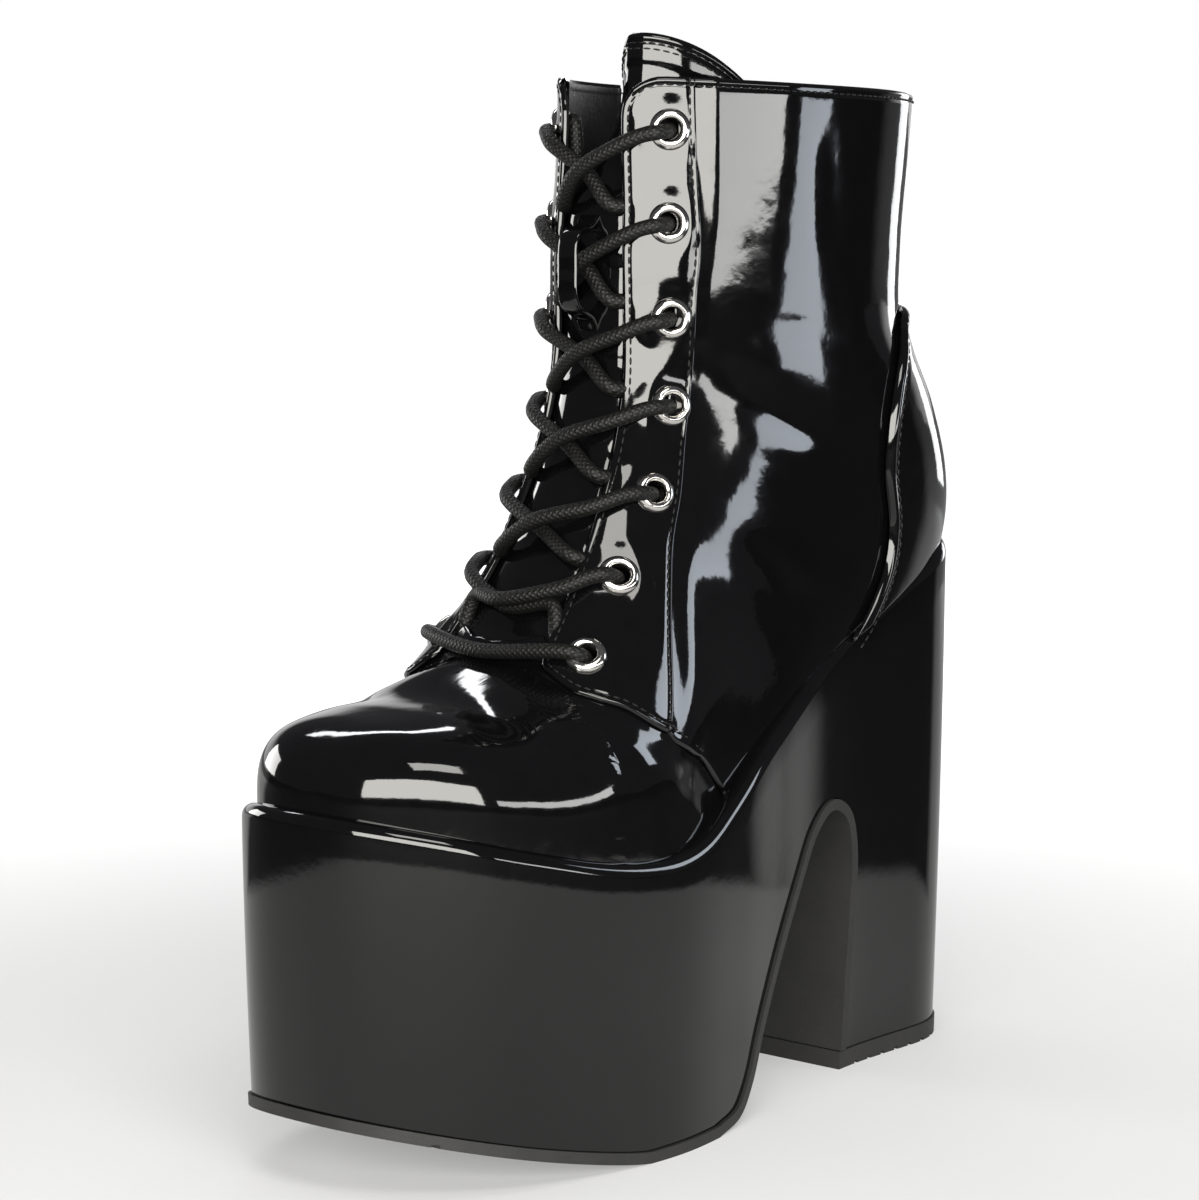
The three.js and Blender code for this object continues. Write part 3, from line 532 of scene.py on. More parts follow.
LEATHER = 2.0
FOLD = 1.0
CORNER = 10
SECOND_SEAM = [(-5, 272.2), (-3, 232), (-4, 210), (-7, 181), (-14, 159), (-26, 134)]
LAP_SEAM = {  # from the throat's corner to the platform
    LATERAL: [
        (17.5, -56.5, 127), (19.5, -59, 124.6), (24, -60.5, 123.4), (30, -61, 121.8),
        (36, -57, 118.6), (40, -50, 114.5), (43.5, -38, 107.5), (45.5, -25, 100), (47.3, -13, 91),
    ],
    MEDIAL: [
        (-17.5, -56.5, 127), (-19.5, -59, 124.6), (-22.5, -60.5, 123.2), (-27, -61, 121),
        (-32, -57, 117.6), (-35.5, -50, 113.5), (-38, -38, 106.5), (-39.5, -25, 99),
        (-40.5, -13, 91),
    ],
}
LAP_FOOT = 7  # where the second seam meets the lapped seam: the row it ends on, counted from one


def patent(name, wave=0.09, peel=0.0032, colour=(0.0014, 0.0014, 0.0016), gloss=0.045):
    """Black patent leather: a flexible lacquer that shows the give of the leather under it."""
    made = Finish(name, IOR=1.52)
    haze = made.noise(6, 4, 0.6)
    specks = made.noise(0.5, 2, 0.5)
    made.feed("Base Color", made.mix(haze, colour, tuple(c * 1.9 for c in colour)))
    made.feed("Roughness", gloss + (haze ** 3) * 0.09 + (specks > 0.74) * 0.06)
    made.raise_by(made.noise(24, 2, 0.45), wave * 2.2)
    made.raise_by(made.noise(7, 2, 0.5), wave * 0.42)
    made.raise_by(made.noise(1.5, 3, 0.55), peel * 2.2)
    made.raise_by(made.noise(0.42, 2, 0.5), peel * 0.45)
    return made.finish_bump()


upper_finish = patent("black patent")
lining_finish = mottled(
    "black lining", (0.9, 4, 0.6), (0.006, 0.006, 0.0065), (0.016, 0.016, 0.017), 0.12,
    (0.34, 0.2), IOR=1.48,
)
lining_finish.raise_by(lining_finish.noise(14, 2), 0.5)
lining_finish.finish_bump()


def along(curve, shares):
    """Places at shares of the length of a curve on the last."""
    far = lengths(skin(curve))
    return np.stack([np.interp(np.asarray(shares) * far[-1], far, curve[:, k]) for k in (0, 1)], 1)


def between(bottom, top, front, back, across, up):
    """Places inside four curves: bottom and top run towards the heel, front and back upwards."""
    low, high = along(bottom, across), along(top, across)
    near, far = along(front, up), along(back, up)
    u, v = across[None, :, None], up[:, None, None]
    corners = (1 - u) * ((1 - v) * low[0] + v * high[0]) + u * ((1 - v) * low[-1] + v * high[-1])
    upwards = (1 - v) * low[None] + v * high[None]
    return upwards + (1 - u) * near[:, None] + u * far[:, None] - corners


def shares(length, fine=0.33, reach=3.3, coarse=1.15):
    """Shares of a length that lie close together over its two ends."""
    end = np.arange(0, reach, fine)
    count = max(int((length - 2 * reach) / coarse), 2)
    middle = np.linspace(reach, length - reach, count)
    return np.concatenate([end, middle, (length - end)[::-1]]) / length


def gap_to(points, line):
    """How far each point is from a line."""
    tree = KDTree(len(line))
    for i, place in enumerate(line):
        tree.insert(place, i)
    tree.balance()
    return np.array([tree.find(point)[2] for point in points])


def rolled(gap, radius):
    """How far a folded edge has turned down at each distance from it."""
    left = np.clip(radius - gap, 0, radius)
    return np.sqrt(np.maximum(radius**2 - left**2, 0)) - radius


def pulled_in(gap, at=2.0, deep=0.16, wide=0.6):
    """The trough that a row of stitches pulls into the leather."""
    return -deep * np.exp(-(((gap - at) / wide) ** 2))


def walled(made, thick, offset=-1):
    """Gives a sheet its thickness."""
    wall = made.modifiers.new("wall", "SOLIDIFY")
    wall.thickness, wall.offset = thick * MM, offset
    return wall


def cured(made, sharp=38):
    """Applies a piece's modifiers."""
    graph = bpy.context.evaluated_depsgraph_get()
    mesh = bpy.data.meshes.new_from_object(made.evaluated_get(graph))
    made.modifiers.clear()
    made.data = mesh
    mesh.shade_smooth()
    mesh.set_sharp_from_angle(angle=radians(sharp))
    return made


def cut(made, tool, operation="DIFFERENCE"):
    """Cuts a piece with a tool, which is used up."""
    change = made.modifiers.new("cut", "BOOLEAN")
    change.object, change.operation, change.solver = tool, operation, "EXACT"
    cured(made)
    bpy.data.objects.remove(tool)
    return made


def panel(name, bottom, top, front, back, folds, shape=None, wall=LEATHER, straight=False):
    """A cut piece of leather on the last, folded round its edges: bottom, top, front, back."""
    sides = (bottom, top, front, back)
    size = [lengths(skin(curve))[-1] for curve in sides]
    across, up = shares(max(size[:2])), shares(max(size[2:]))
    places = between(*sides, across, up)
    if straight:
        places = straightened(places, across)
    net = places.shape[:2]
    flat = places.reshape(-1, 2)
    points = skin(flat)
    gaps = []
    for i, curve in enumerate(sides):
        gap = gap_to(points, skin(along(curve, np.linspace(0, 1, 700)))).reshape(net)
        gap[(0, -1, slice(None), slice(None))[i], (slice(None), slice(None), 0, -1)[i]] = 0
        gaps.append(gap.ravel())
    lift = np.minimum.reduce([rolled(gap, fold) for gap, fold in zip(gaps, folds)])
    if shape:
        lift = lift + shape(points, gaps, flat)
    bm = grid_mesh(framed(skin(flat, lift)).reshape(*net, 3))
    made = piece(name, bm, [upper_finish, lining_finish], flip=bottom[-1, 1] < bottom[0, 1])
    walled(made, wall).material_offset = 1
    return cured(made, 50)


def level(line, turn, low, high, rise=0.0):
    """The `t` at which the last reaches a side-view line, for each turn."""
    turn = np.asarray(turn, float)
    low, high = np.full(turn.shape, float(low)), np.full(turn.shape, float(high))
    for _ in range(30):
        half = (low + high) / 2
        at = on_last(half, turn)
        under = at[..., 2] < smooth(line, at[..., 1])[..., 0] + rise
        low, high = np.where(under, half, low), np.where(under, high, half)
    return (low + high) / 2


def feather_turn(t, side, rise=-1.0):
    """How far round a section meets the platform."""
    t = np.asarray(t, float)
    low, high = np.full(t.shape, 0.3), np.full(t.shape, np.pi)
    for _ in range(30):
        half = (low + high) / 2
        at = on_last(t, half * SIGN[side])
        above = at[..., 2] > feather(at[..., 1]) + rise
        low, high = np.where(above, half, low), np.where(above, high, half)
    return (low + high) / 2 * SIGN[side]


def collar_line(start, end, count=120):
    turn = np.linspace(start, end, count)
    return np.stack([level(COLLAR, turn, 9, 13), turn], 1)


def feather_line(side, start, end=None):
    """Along the platform from one section to another, or to the back."""
    last = level(FEATHER, [np.pi], 4, 7, -1.0)[0] if end is None else end
    t = last - (last - start) * np.linspace(1, 0, 260) ** 2
    turn = feather_turn(t, side)
    if end is None:
        turn[-1] = np.pi * SIGN[side]
    return np.stack([t, turn], 1)


def beside(curve, distance):
    """The curve moved sideways over the last, by `distance` to its left as seen from outside."""
    curve = np.asarray(curve)
    points = skin(curve)
    ahead = np.gradient(points, axis=0)
    ahead /= np.linalg.norm(ahead, axis=1, keepdims=True)
    away = np.cross(outward(*curve.T), ahead) * np.reshape(distance, (-1, 1))
    return find(points + away, ALL_ROUND, start=curve)


def heelward(curve, side, distance):
    """A curve that runs upwards, moved towards the heel."""
    return beside(curve, -SIGN[side] * np.asarray(distance))


def straightened(places, across):
    """A net whose rows run straight from its front edge to its back one, except near its ends."""
    far = lengths(skin(places[:, 0]))
    middle = eased(np.minimum(far, far[-1] - far), 1, 16)[:, None, None]
    straight = places[:, :1] + (places[:, -1:] - places[:, :1]) * across[None, :, None]
    return places + (straight - places) * middle


def capsule(bm, place, way, size):
    """A small rounded bead of the given half sizes, in millimetres, with its length along `way`."""
    turned = Vector(way).to_track_quat("X", "Z").to_matrix().to_4x4()
    stretch = Matrix.Diagonal((*(half * MM for half in size), 1))
    bmesh.ops.create_uvsphere(
        bm, u_segments=6, v_segments=4, radius=1,
        matrix=Matrix.Translation(place) @ turned @ stretch @ Matrix.Rotation(np.pi / 2, 4, "Y"),
    )


def stitches(name, rows, pitch=2.6, thick=0.3, lift=0.08):
    """Rows of thread stitches that lie on the last along curves."""
    bm = bmesh.new()
    for curve, height in rows:
        points = skin(curve, height + lift)
        far = lengths(points)
        at = np.arange(pitch / 2, far[-1], pitch)
        middle = np.stack([np.interp(at, far, points[:, k]) for k in range(3)], 1)
        ahead = np.stack([np.interp(at + 0.5, far, points[:, k]) for k in range(3)], 1) - middle
        for place, way in zip(framed(middle), ahead):
            if np.linalg.norm(way) < 0.1:
                continue
            capsule(bm, place, way, (pitch * 0.4, thick, thick))
    made = piece(name, bm, [thread_finish], sharp=None)
    return made


thread_finish = mottled(
    "black thread", (0.25, 2, 0.5), (0.0015, 0.0015, 0.0015), (0.008, 0.008, 0.008), 0.08,
    (0.4, 0.2), IOR=1.5, Specular_IOR_Level=0.3,
).finish_bump()


def calmed(curve, reach=25):
    """The curve with its small kinks averaged out and its ends kept."""
    before, after = 2 * curve[0] - curve[reach:0:-1], 2 * curve[-1] - curve[-2:-reach - 2:-1]
    weight = np.hanning(2 * reach + 3)[1:-1]
    long = np.concatenate([before, curve, after])
    return np.stack([np.convolve(column, weight / weight.sum(), "valid") for column in long.T], 1)


def throat_front(side):
    """Up the facing's edge, and half way round its top corner."""
    rows = [(17.5 * SIGN[side], 127), (16.9 * SIGN[side], 130.5)]
    rows += [(row[side], row[0]) for row in THROAT]
    arc = [(THROAT[-1, side] + SIGN[side] * CORNER * (1 - np.cos(a)), 262.6 + CORNER * np.sin(a))
           for a in np.linspace(0, np.pi / 2, 9)[1:]]
    up = rounded_path(find(rows + arc[:4], FRONT_VIEW, sorted((0, 1.3 * SIGN[side]))), 0.01)
    round_top = find(arc[3:], FRONT_VIEW, sorted((0, 1.3 * SIGN[side])))
    return up, round_top


lap, second, facing_front, facing_top = {}, {}, {}, {}
for side in SIDES:
    turns = sorted((0.05 * SIGN[side], 2.6 * SIGN[side]))
    lap[side] = find(LAP_SEAM[side], ALL_ROUND, turns)
    lap[side][-1, 1] = feather_turn(lap[side][-1, 0], side)
    foot = lap[side][LAP_FOOT - 1]
    upward = find(SECOND_SEAM[::-1], SIDE_VIEW, turns)
    upward[-1, 0] = level(COLLAR, upward[-1:, 1], 9, 13)[0]
    second[side] = calmed(rounded_path(np.concatenate([[foot], upward]), 0.01), 15)
    facing_front[side], round_top = throat_front(side)
    facing_front[side] = np.concatenate([lap[side][:1], calmed(facing_front[side], 15)[8:]])
    collar_part = collar_line(round_top[-1, 1], second[side][-1, 1], 30)
    facing_top[side] = np.concatenate([round_top[:-1], collar_part])
    facing_front[side][-1] = facing_top[side][0]


def pressed_flat(points, seats):
    """The leather is drawn flat under each eyelet, and a little down round it."""
    lift = np.zeros(len(points))
    for middle, out in seats:
        gap = np.linalg.norm(points - middle, axis=1)
        drop = (points - middle) @ out
        lift -= (drop + 0.25) * (1 - eased(gap, EYELET_OUTER * 0.9, EYELET_OUTER * 2))
    return lift


FACING_ROWS = (1.8, 2.0, 2.0, 1.6)  # the stitches' distances from the bottom, top, front and back


def facing_shape(points, gaps, flat):
    rows = sum(pulled_in(gap, at) for gap, at in zip(gaps, FACING_ROWS))
    return rows + 0.25 + pressed_flat(points, seats[LATERAL if flat[0, 1] > 0 else MEDIAL])


EYELET_OUTER, EYELET_BORE = 5.4, 3.6
seats = {}
for side in SIDES:
    places = find(EYELETS[:, [side, 0]], FRONT_VIEW, (-1.45, 1.45))
    seats[side] = list(zip(skin(places), outward(*places.T)))


def punches(side):
    bm = bmesh.new()
    for middle, out in seats[side]:
        turned = Vector(out).to_track_quat("Z", "Y").to_matrix().to_4x4()
        bmesh.ops.create_cone(
            bm, cap_ends=True, segments=24, radius1=EYELET_BORE * MM, radius2=EYELET_BORE * MM,
            depth=12 * MM, matrix=Matrix.Translation(framed(middle)) @ turned,
        )
    return piece("punches", bm, [], body=None)


for side, word in SIDES.items():
    lap_part = rounded_path(lap[side][:LAP_FOOT], 0.01)
    facing = panel(
        f"facing_{word}", lap_part, facing_top[side], facing_front[side], second[side],
        (0.9, FOLD, FOLD, 0.7), facing_shape, straight=True,
    )
    cut(facing, punches(side))
    rows = [
        (heelward(facing_front[side][4:], side, FACING_ROWS[2]), 0.1),
        (beside(facing_top[side], -FACING_ROWS[1] * SIGN[side]), 0.1),
        (heelward(second[side], side, -FACING_ROWS[3]), 0.1),
        (beside(lap_part, FACING_ROWS[0] * SIGN[side]), 0.1),
    ]
    stitches(f"facing_stitches_{word}", rows)


# ---------- shaft ----------
# The two quarters behind the facings, from the platform to the collar, joined by the back seam.
# The inner one is parted by the zip, whose lips are folded under and stitched.

ZIP = np.array([(34, 290), (33, 255), (31, 225), (25, 190), (18, 165), (8, 140), (-8, 115)])
ZIP_FOOT = [(-8, 104), (-5.5, 92.5)]
ZIP_SLOT, LIP_ROW = 7.0, 3.2
LAPPED_DOWN = 0.8


def on_collar(curve):
    """The curve with its upper end brought to the collar."""
    curve = np.array(curve)
    curve[-1, 0] = level(COLLAR, curve[-1:, 1], 9, 13)[0]
    return curve


# The creases of wear: each one's side, where it starts and ends in the side view, its depth and
# its half width.
CREASES = [
    (LATERAL, (3, 191), (42, 176), 0.4, 6.0),
    (LATERAL, (9, 208), (54, 203), 0.4, 6.5),
    (LATERAL, (36, 263), (43, 222), 0.3, 8.0),
    (LATERAL, (10, 152), (36, 128), 0.4, 7.0),
    (MEDIAL, (34, 195), (64, 187), 0.45, 6.0),
    (MEDIAL, (42, 213), (68, 218), 0.4, 6.5),
    (MEDIAL, (1, 197), (17, 189), 0.35, 5.0),
    (LATERAL, (-68, 119), (-53, 98), 0.35, 5.0),
    (MEDIAL, (-68, 119), (-56, 98), 0.35, 5.0),
]


def creased(points):
    """Soft troughs with a low ridge along each side, fading out at their ends."""
    lift = np.zeros(len(points))
    for side, start, end, depth, width in CREASES:
        course = np.subtract(end, start)
        off = points[:, 1:] - start
        far = off @ course / (course @ course)
        gap = (off @ (-course[1], course[0]) / np.linalg.norm(course) / width) ** 2
        fade = (1 - eased(np.abs(far - 0.5), 0.15, 0.6)) * (points[:, 0] * SIGN[side] > 0)
        lift -= depth * fade * (1 - gap) * np.exp(-gap)
    return lift


def below_facing(side):
    hidden = second[side].copy()
    hidden[:, 1] -= 0.1 * SIGN[side]
    return on_collar(hidden)


def back_seam(side):
    ends = [level(FEATHER, [np.pi], 4, 7, -1.0)[0], level(COLLAR, [np.pi], 9, 13)[0]]
    return np.stack([np.linspace(*ends, 90), np.full(90, np.pi * SIGN[side])], 1)


def under_facing(points, gaps, flat):
    return pulled_in(gaps[1]) - LAPPED_DOWN * (1 - eased(gaps[2], 4.5, 12)) + creased(points)


def behind_zip(points, gaps, flat):
    return pulled_in(gaps[1]) + pulled_in(gaps[2], LIP_ROW) + creased(points)


def before_zip(points, gaps, flat):
    return under_facing(points, gaps, flat) + pulled_in(gaps[3], LIP_ROW)


side = LATERAL
shaft_front = below_facing(side)
lap_rest = rounded_path(np.concatenate([shaft_front[:1], lap[side][LAP_FOOT - 1:]]), 0.01)
shaft_foot = np.concatenate([lap_rest, feather_line(side, lap_rest[-1, 0])[1:]])
shaft_top = collar_line(shaft_front[-1, 1], np.pi)
shaft_outer = panel(
    "shaft_outer", shaft_foot, shaft_top, shaft_front, back_seam(side), (0.9, FOLD, 0.3, 0.35),
    under_facing,
)

side = MEDIAL
inner_turns = (-np.pi + 0.2, -0.3)
zip_rows = np.concatenate([ZIP_FOOT[::-1], ZIP[::-1]])
zip_line = rounded_path(find(zip_rows, SIDE_VIEW, inner_turns), 0.01)
zip_line = zip_line[on_last(*zip_line.T)[:, 2] < smooth(COLLAR, on_last(*zip_line.T)[:, 1])[:, 0]]
zip_line[0, 1] = feather_turn(zip_line[0, 0], side)
zip_line = calmed(zip_line)
zip_height = on_last(*zip_line.T)[:, 2]
lip_gap = 0.25 + (ZIP_SLOT / 2 - 0.25) * eased(zip_height, 105, 127)
lip_front = on_collar(calmed(heelward(zip_line, side, -lip_gap), 15))
lip_back = on_collar(calmed(heelward(zip_line, side, lip_gap), 15))
for lip in (lip_front, lip_back):
    lip[0, 1] = feather_turn(lip[0, 0], side)

shaft_front = below_facing(side)
lap_rest = rounded_path(np.concatenate([shaft_front[:1], lap[side][LAP_FOOT - 1:]]), 0.01)
to_zip = feather_line(side, lap_rest[-1, 0], lip_front[0, 0])[1:]
shaft_inner_front = panel(
    "shaft_inner_front", np.concatenate([lap_rest, to_zip]),
    collar_line(shaft_front[-1, 1], lip_front[-1, 1], 60), shaft_front, lip_front,
    (0.9, FOLD, 0.3, 0.8), before_zip,
)
shaft_inner_back = panel(
    "shaft_inner_back", feather_line(side, lip_back[0, 0]),
    collar_line(lip_back[-1, 1], -np.pi, 90), lip_back, back_seam(side),
    (0.9, FOLD, 0.8, 0.35), behind_zip,
)

COUNTER_TOP = 211
seam_rows = []
for side in SIDES:
    seam = back_seam(side)
    seam = seam[skin(seam)[:, 2] > COUNTER_TOP + 2]
    seam_rows.append((heelward(seam, side, -1.7), 0.0))
    collar = collar_line(second[side][-1, 1], (np.pi - 0.03) * SIGN[side])
    seam_rows.append((beside(collar, -2.1 * SIGN[side]), 0.0))
    seam_rows.append((beside(lap[side][LAP_FOOT - 1:-1], 1.8 * SIGN[side]), 0.0))
for lip, away in ((lip_front, -LIP_ROW), (lip_back, LIP_ROW)):
    seam_rows.append((heelward(lip[25:-4], MEDIAL, away), 0.0))
stitches("shaft_stitches", seam_rows)


# ---------- vamp ----------
# The front of the upper, one piece of patent leather pulled over the toe box and lasted under.
# Its back edge is tucked under the facings and the shaft, and folded where it shows in the throat.

VAMP_NET, VAMP_WALL = (130, 161), 1.6
VAMP_REAR = [(0.01, 129.6), (8, 130.2), (14, 132.4)]  # x, z of its back edge in the throat

side_share = []
for side in SIDES:
    foot = find([(x * SIGN[side], z) for x, z in VAMP_REAR], FRONT_VIEW, (-1.3, 1.3))
    tucked = lap[side] + (0.32, 0)
    rear = np.concatenate([foot, tucked[1:]])
    rows = [np.abs(curve[:, 1] / feather_turn(curve[:, 0], side)) for curve in (rear, lap[side])]
    side_share.append((rows[0], rear[:, 0], rows[1], lap[side][:, 0]))
share = np.linspace(-1, 1, VAMP_NET[1])
share = share * 0.75 + 0.25 * share**3
wide = np.abs(share)
rear_t = np.where(share >= 0, *(np.interp(wide, *rows[:2]) for rows in side_share))
lap_t = np.where(share >= 0, *(np.interp(wide, *rows[2:], left=9) for rows in side_share))
forward = np.linspace(0, 1, VAMP_NET[0])
vamp_t = -TIP_CLOSE + forward[:, None] * (rear_t + TIP_CLOSE)[None, :]
vamp_turn = np.where(share[None, :] >= 0, *(feather_turn(vamp_t, side) * wide for side in SIDES))
vamp_places = np.stack([vamp_t, vamp_turn], -1).reshape(-1, 2)
vamp_points = skin(vamp_places)
lap_shares = np.linspace(0, 1, 300)
lap_gap = np.minimum(*(gap_to(vamp_points, skin(along(lap[side], lap_shares))) for side in SIDES))
tucked = (vamp_t > lap_t[None, :]).ravel()
vamp_lift = -(LAPPED_DOWN + 0.5) * np.where(tucked, 1, 1 - eased(lap_gap, 1.5, 13))
rear_edge = gap_to(vamp_points, vamp_points.reshape(*VAMP_NET, 3)[-1])
vamp_lift = vamp_lift + rolled(rear_edge, 1.0) + creased(vamp_points)
vamp_mesh = grid_mesh(framed(skin(vamp_places, vamp_lift)).reshape(*VAMP_NET, 3), close=True)
vamp = piece("vamp", vamp_mesh, [upper_finish, lining_finish], flip=False)
walled(vamp, VAMP_WALL).material_offset = 1
cured(vamp, 50)
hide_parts("upper")


# ---------- heel counter ----------
# A stiffened cup of patent leather over the back seam, with a thick folded top edge.

COUNTER_OUT, COUNTER_WALL = 2.3, 1.9
COUNTER_ROW = 4.4
COUNTER_EDGE = [
    (57.5, 119.5), (67, 136), (70, 150), (67, 165), (67.5, 180), (72.5, 194.5), (79.5, 204),
]
COUNTER_RIM = np.array([
    (60, 196), (79.5, 204), (85, 207.6), (92, 209.6), (105, 210.6), (130, COUNTER_TOP),
])

rims, feet = [], []
for side, more in ((LATERAL, 0), (MEDIAL, 2 * np.pi)):
    rim = find(COUNTER_EDGE, SIDE_VIEW, sorted((0.5 * SIGN[side], 3.0 * SIGN[side])))
    rim[0, 1] = feather_turn(rim[0, 0], side)
    foot = feather_line(side, rim[0, 0])
    rims.append(rounded_path(rim, 0.01) + (0, more))
    feet.append(foot + (0, more))
rim_turn = np.linspace(rims[0][-1, 1], rims[1][-1, 1], 160)
counter_top = np.stack([level(COUNTER_RIM, rim_turn, 6, 12), rim_turn], 1)
counter_foot = np.concatenate([feet[0], feet[1][::-1][1:]])


def counter_shape(points, gaps, flat):
    thick_rim = 0.7 * np.exp(-(((np.minimum.reduce(gaps[1:]) - 1.7) / 1.5) ** 2))
    edges = [pulled_in(gap, COUNTER_ROW, 0.25, 0.9) for gap in gaps[1:]]
    return COUNTER_OUT + thick_rim + sum(edges)


counter = panel(
    "heel_cup", counter_foot, counter_top, rims[0], rims[1], (0.9, 1.5, 1.4, 1.4), counter_shape,
    wall=COUNTER_WALL,
)
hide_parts("heel_counter")
counter_rows = [
    heelward(rims[0], LATERAL, COUNTER_ROW),
    heelward(rims[1] - (0, 2 * np.pi), MEDIAL, COUNTER_ROW),
    beside(counter_top[6:-6], -COUNTER_ROW),
]
stitches("counter_stitches", [(row, COUNTER_OUT - 0.2) for row in counter_rows])


# ---------- tongue ----------
# Foam between patent leather and lining, sewn under the vamp. It lies against the facings and
# leans back above the top eyelets, and its hem is turned and stitched.

TONGUE_THICK = 2.6
TONGUE_UNDER = WALL + 0.8
TONGUE_LEAN = 15
TONGUE_ROWS, TONGUE_TURN = (1.2, 3, 6, 9, 12.3), (0.42, 0.62, 0.78, 0.82, 0.84)
TONGUE_WRAP = 0.42


def tongue_drop(t):
    return TONGUE_UNDER + TONGUE_LEAN * eased(t, 9.6, 12.2)


def tongue_shape(points, gaps, flat):
    edge = np.interp(points[:, 2], THROAT[:, 0], THROAT[:, 1])
    tucked = eased(np.abs(points[:, 0] + 0.8), edge - 1, edge + 5)
    tucked = tucked * (1 - eased(flat[:, 0], 10.4, 11.6))
    creases = 0.0
    for row in EYELETS[:-1]:
        creases = creases - 0.5 * np.exp(-(((points[:, 2] - row[0] + 12) / 2.6) ** 2))
    creases = creases * (1 - eased(flat[:, 0], 10.8, 11.4))
    hem = pulled_in(gaps[1], 2.4) + pulled_in(gaps[1], 9, 0.3, 0.9)
    return 0.5 - tongue_drop(flat[:, 0]) - 2.6 * tucked + creases + hem


tongue_t = np.linspace(1.25, 12.25, 120)
tongue_turn = np.interp(tongue_t, TONGUE_ROWS, TONGUE_TURN)
tongue_outer = np.stack([tongue_t, tongue_turn + TONGUE_WRAP * eased(tongue_t, 8.5, 12.25)], 1)
tongue_inner = np.stack([tongue_t, -tongue_turn], 1)
hem_share = np.linspace(-1, 1, 90)
hem_turn = np.interp(hem_share, (-1, 1), (tongue_inner[-1, 1], tongue_outer[-1, 1]))
tongue_hem = np.stack([12.68 - 0.43 * np.abs(hem_share) ** 3, hem_turn], 1)
foot_turn = np.linspace(-tongue_turn[0], tongue_turn[0], 40)
tongue_foot = np.stack([np.full(40, tongue_t[0]), foot_turn], 1)
tongue = panel(
    "padded_tongue", tongue_foot, tongue_hem, tongue_inner, tongue_outer, (0.5, 1.2, 1.2, 1.2),
    tongue_shape, wall=TONGUE_THICK,
)
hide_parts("tongue")


def on_tongue(curve):
    return curve, 0.5 - tongue_drop(curve[:, 0])


hem_rows = (beside(tongue_hem, -2.6), beside(tongue_hem[3:-3], -4.1))
stitches("tongue_stitches", [on_tongue(row) for row in hem_rows])


# ---------- lace keeper ----------
# A loop of folded leather sewn on the tongue, which the crossed laces run under.

KEEPER = [(207, -2.4), (210, -0.4), (213.5, 5.4), (223, 6.4), (231.5, 5.4), (234, 0), (236.8, -2.4)]
KEEPER_WIDTH, KEEPER_THICK = 6.2, 1.3

keeper_x = (throat_edge(LATERAL, 223) + throat_edge(MEDIAL, 223)) / 2
keeper_line = rounded_path([over(keeper_x, z, lift) for z, lift in KEEPER], 0.5)
keeper_share = np.linspace(-1, 1, 11)
keeper_net = keeper_line[:, None] + np.stack(
    [keeper_share * KEEPER_WIDTH / 2, 0.45 * keeper_share**4, 0 * keeper_share], 1,
)[None]
keeper = piece("keeper_loop", grid_mesh(framed(keeper_net)), [upper_finish], flip=False)
walled(keeper, KEEPER_THICK, 0)
rounding = keeper.modifiers.new("rounding", "BEVEL")
rounding.width, rounding.segments, rounding.limit_method = 0.4 * MM, 3, "ANGLE"
cured(keeper)
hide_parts("lace_keeper")


# ---------- eyelets ----------
# Domed nickel-plated brass eyelets, 10.8 mm over the flange, set through the facings and
# clenched over a washer inside.

nickel = mottled(
    "polished nickel", (1.2, 4, 0.6), (0.62, 0.6, 0.57), (0.82, 0.8, 0.77), 0.012, (0.1, 0.12),
    Metallic=1.0,
).finish_bump()

EYELET_PROFILE = [
    (2.75, -3.1), (2.75, 0.5), (2.9, 1.15), (3.35, 1.6), (3.9, 1.72), (4.5, 1.5), (5.0, 1.05),
    (5.35, 0.5), (5.4, 0.1), (5.2, -0.1), (3.5, -0.1), (3.5, -2.2), (5.0, -2.25), (5.0, -2.6),
    (4.2, -3.0), (3.2, -3.2),
]
eyelet_mesh = bmesh.new()
for side in SIDES:
    for middle, out in seats[side]:
        turned = Vector(out).to_track_quat("Z", "Y").to_matrix().to_4x4()
        seat = Matrix.Translation(framed(middle)) @ turned
        ring = [eyelet_mesh.verts.new(seat @ (Vector((r, 0, z)) * MM)) for r, z in EYELET_PROFILE]
        edges = [eyelet_mesh.edges.new(pair) for pair in zip(ring, ring[1:] + ring[:1])]
        bmesh.ops.spin(
            eyelet_mesh, geom=ring + edges, cent=seat.translation, axis=out, angle=2 * np.pi,
            steps=40, use_merge=True,
        )
eyelets = piece("eyelets", eyelet_mesh, [nickel], sharp=50)
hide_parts(*[f"eyelet_{word}_{row}" for word in SIDES.values() for row in range(1, 8)])


# ---------- zip ----------
# A nylon coil zip on a woven tape, sewn behind the slot on the inner side. The nickel slider
# stays at the top; its tab hangs from a pin and swings.

ZIP_TAPE, TAPE_THICK, ZIP_UNDER, COIL_PITCH = 14, 0.6, -LEATHER - 0.3, 1.25
ZIP_TOP, ZIP_START = 266, 107

tape_finish = mottled(
    "woven zip tape", (0.4, 2, 0.6, (1, 1, 0.4)), (0.004, 0.004, 0.004), (0.02, 0.02, 0.021), 0.2,
    Roughness=0.8,
).finish_bump()
coil_finish = mottled(
    "black nylon", (0.8, 3), (0.006, 0.006, 0.006), (0.016, 0.016, 0.017), 0.03, Roughness=0.32,
).finish_bump()

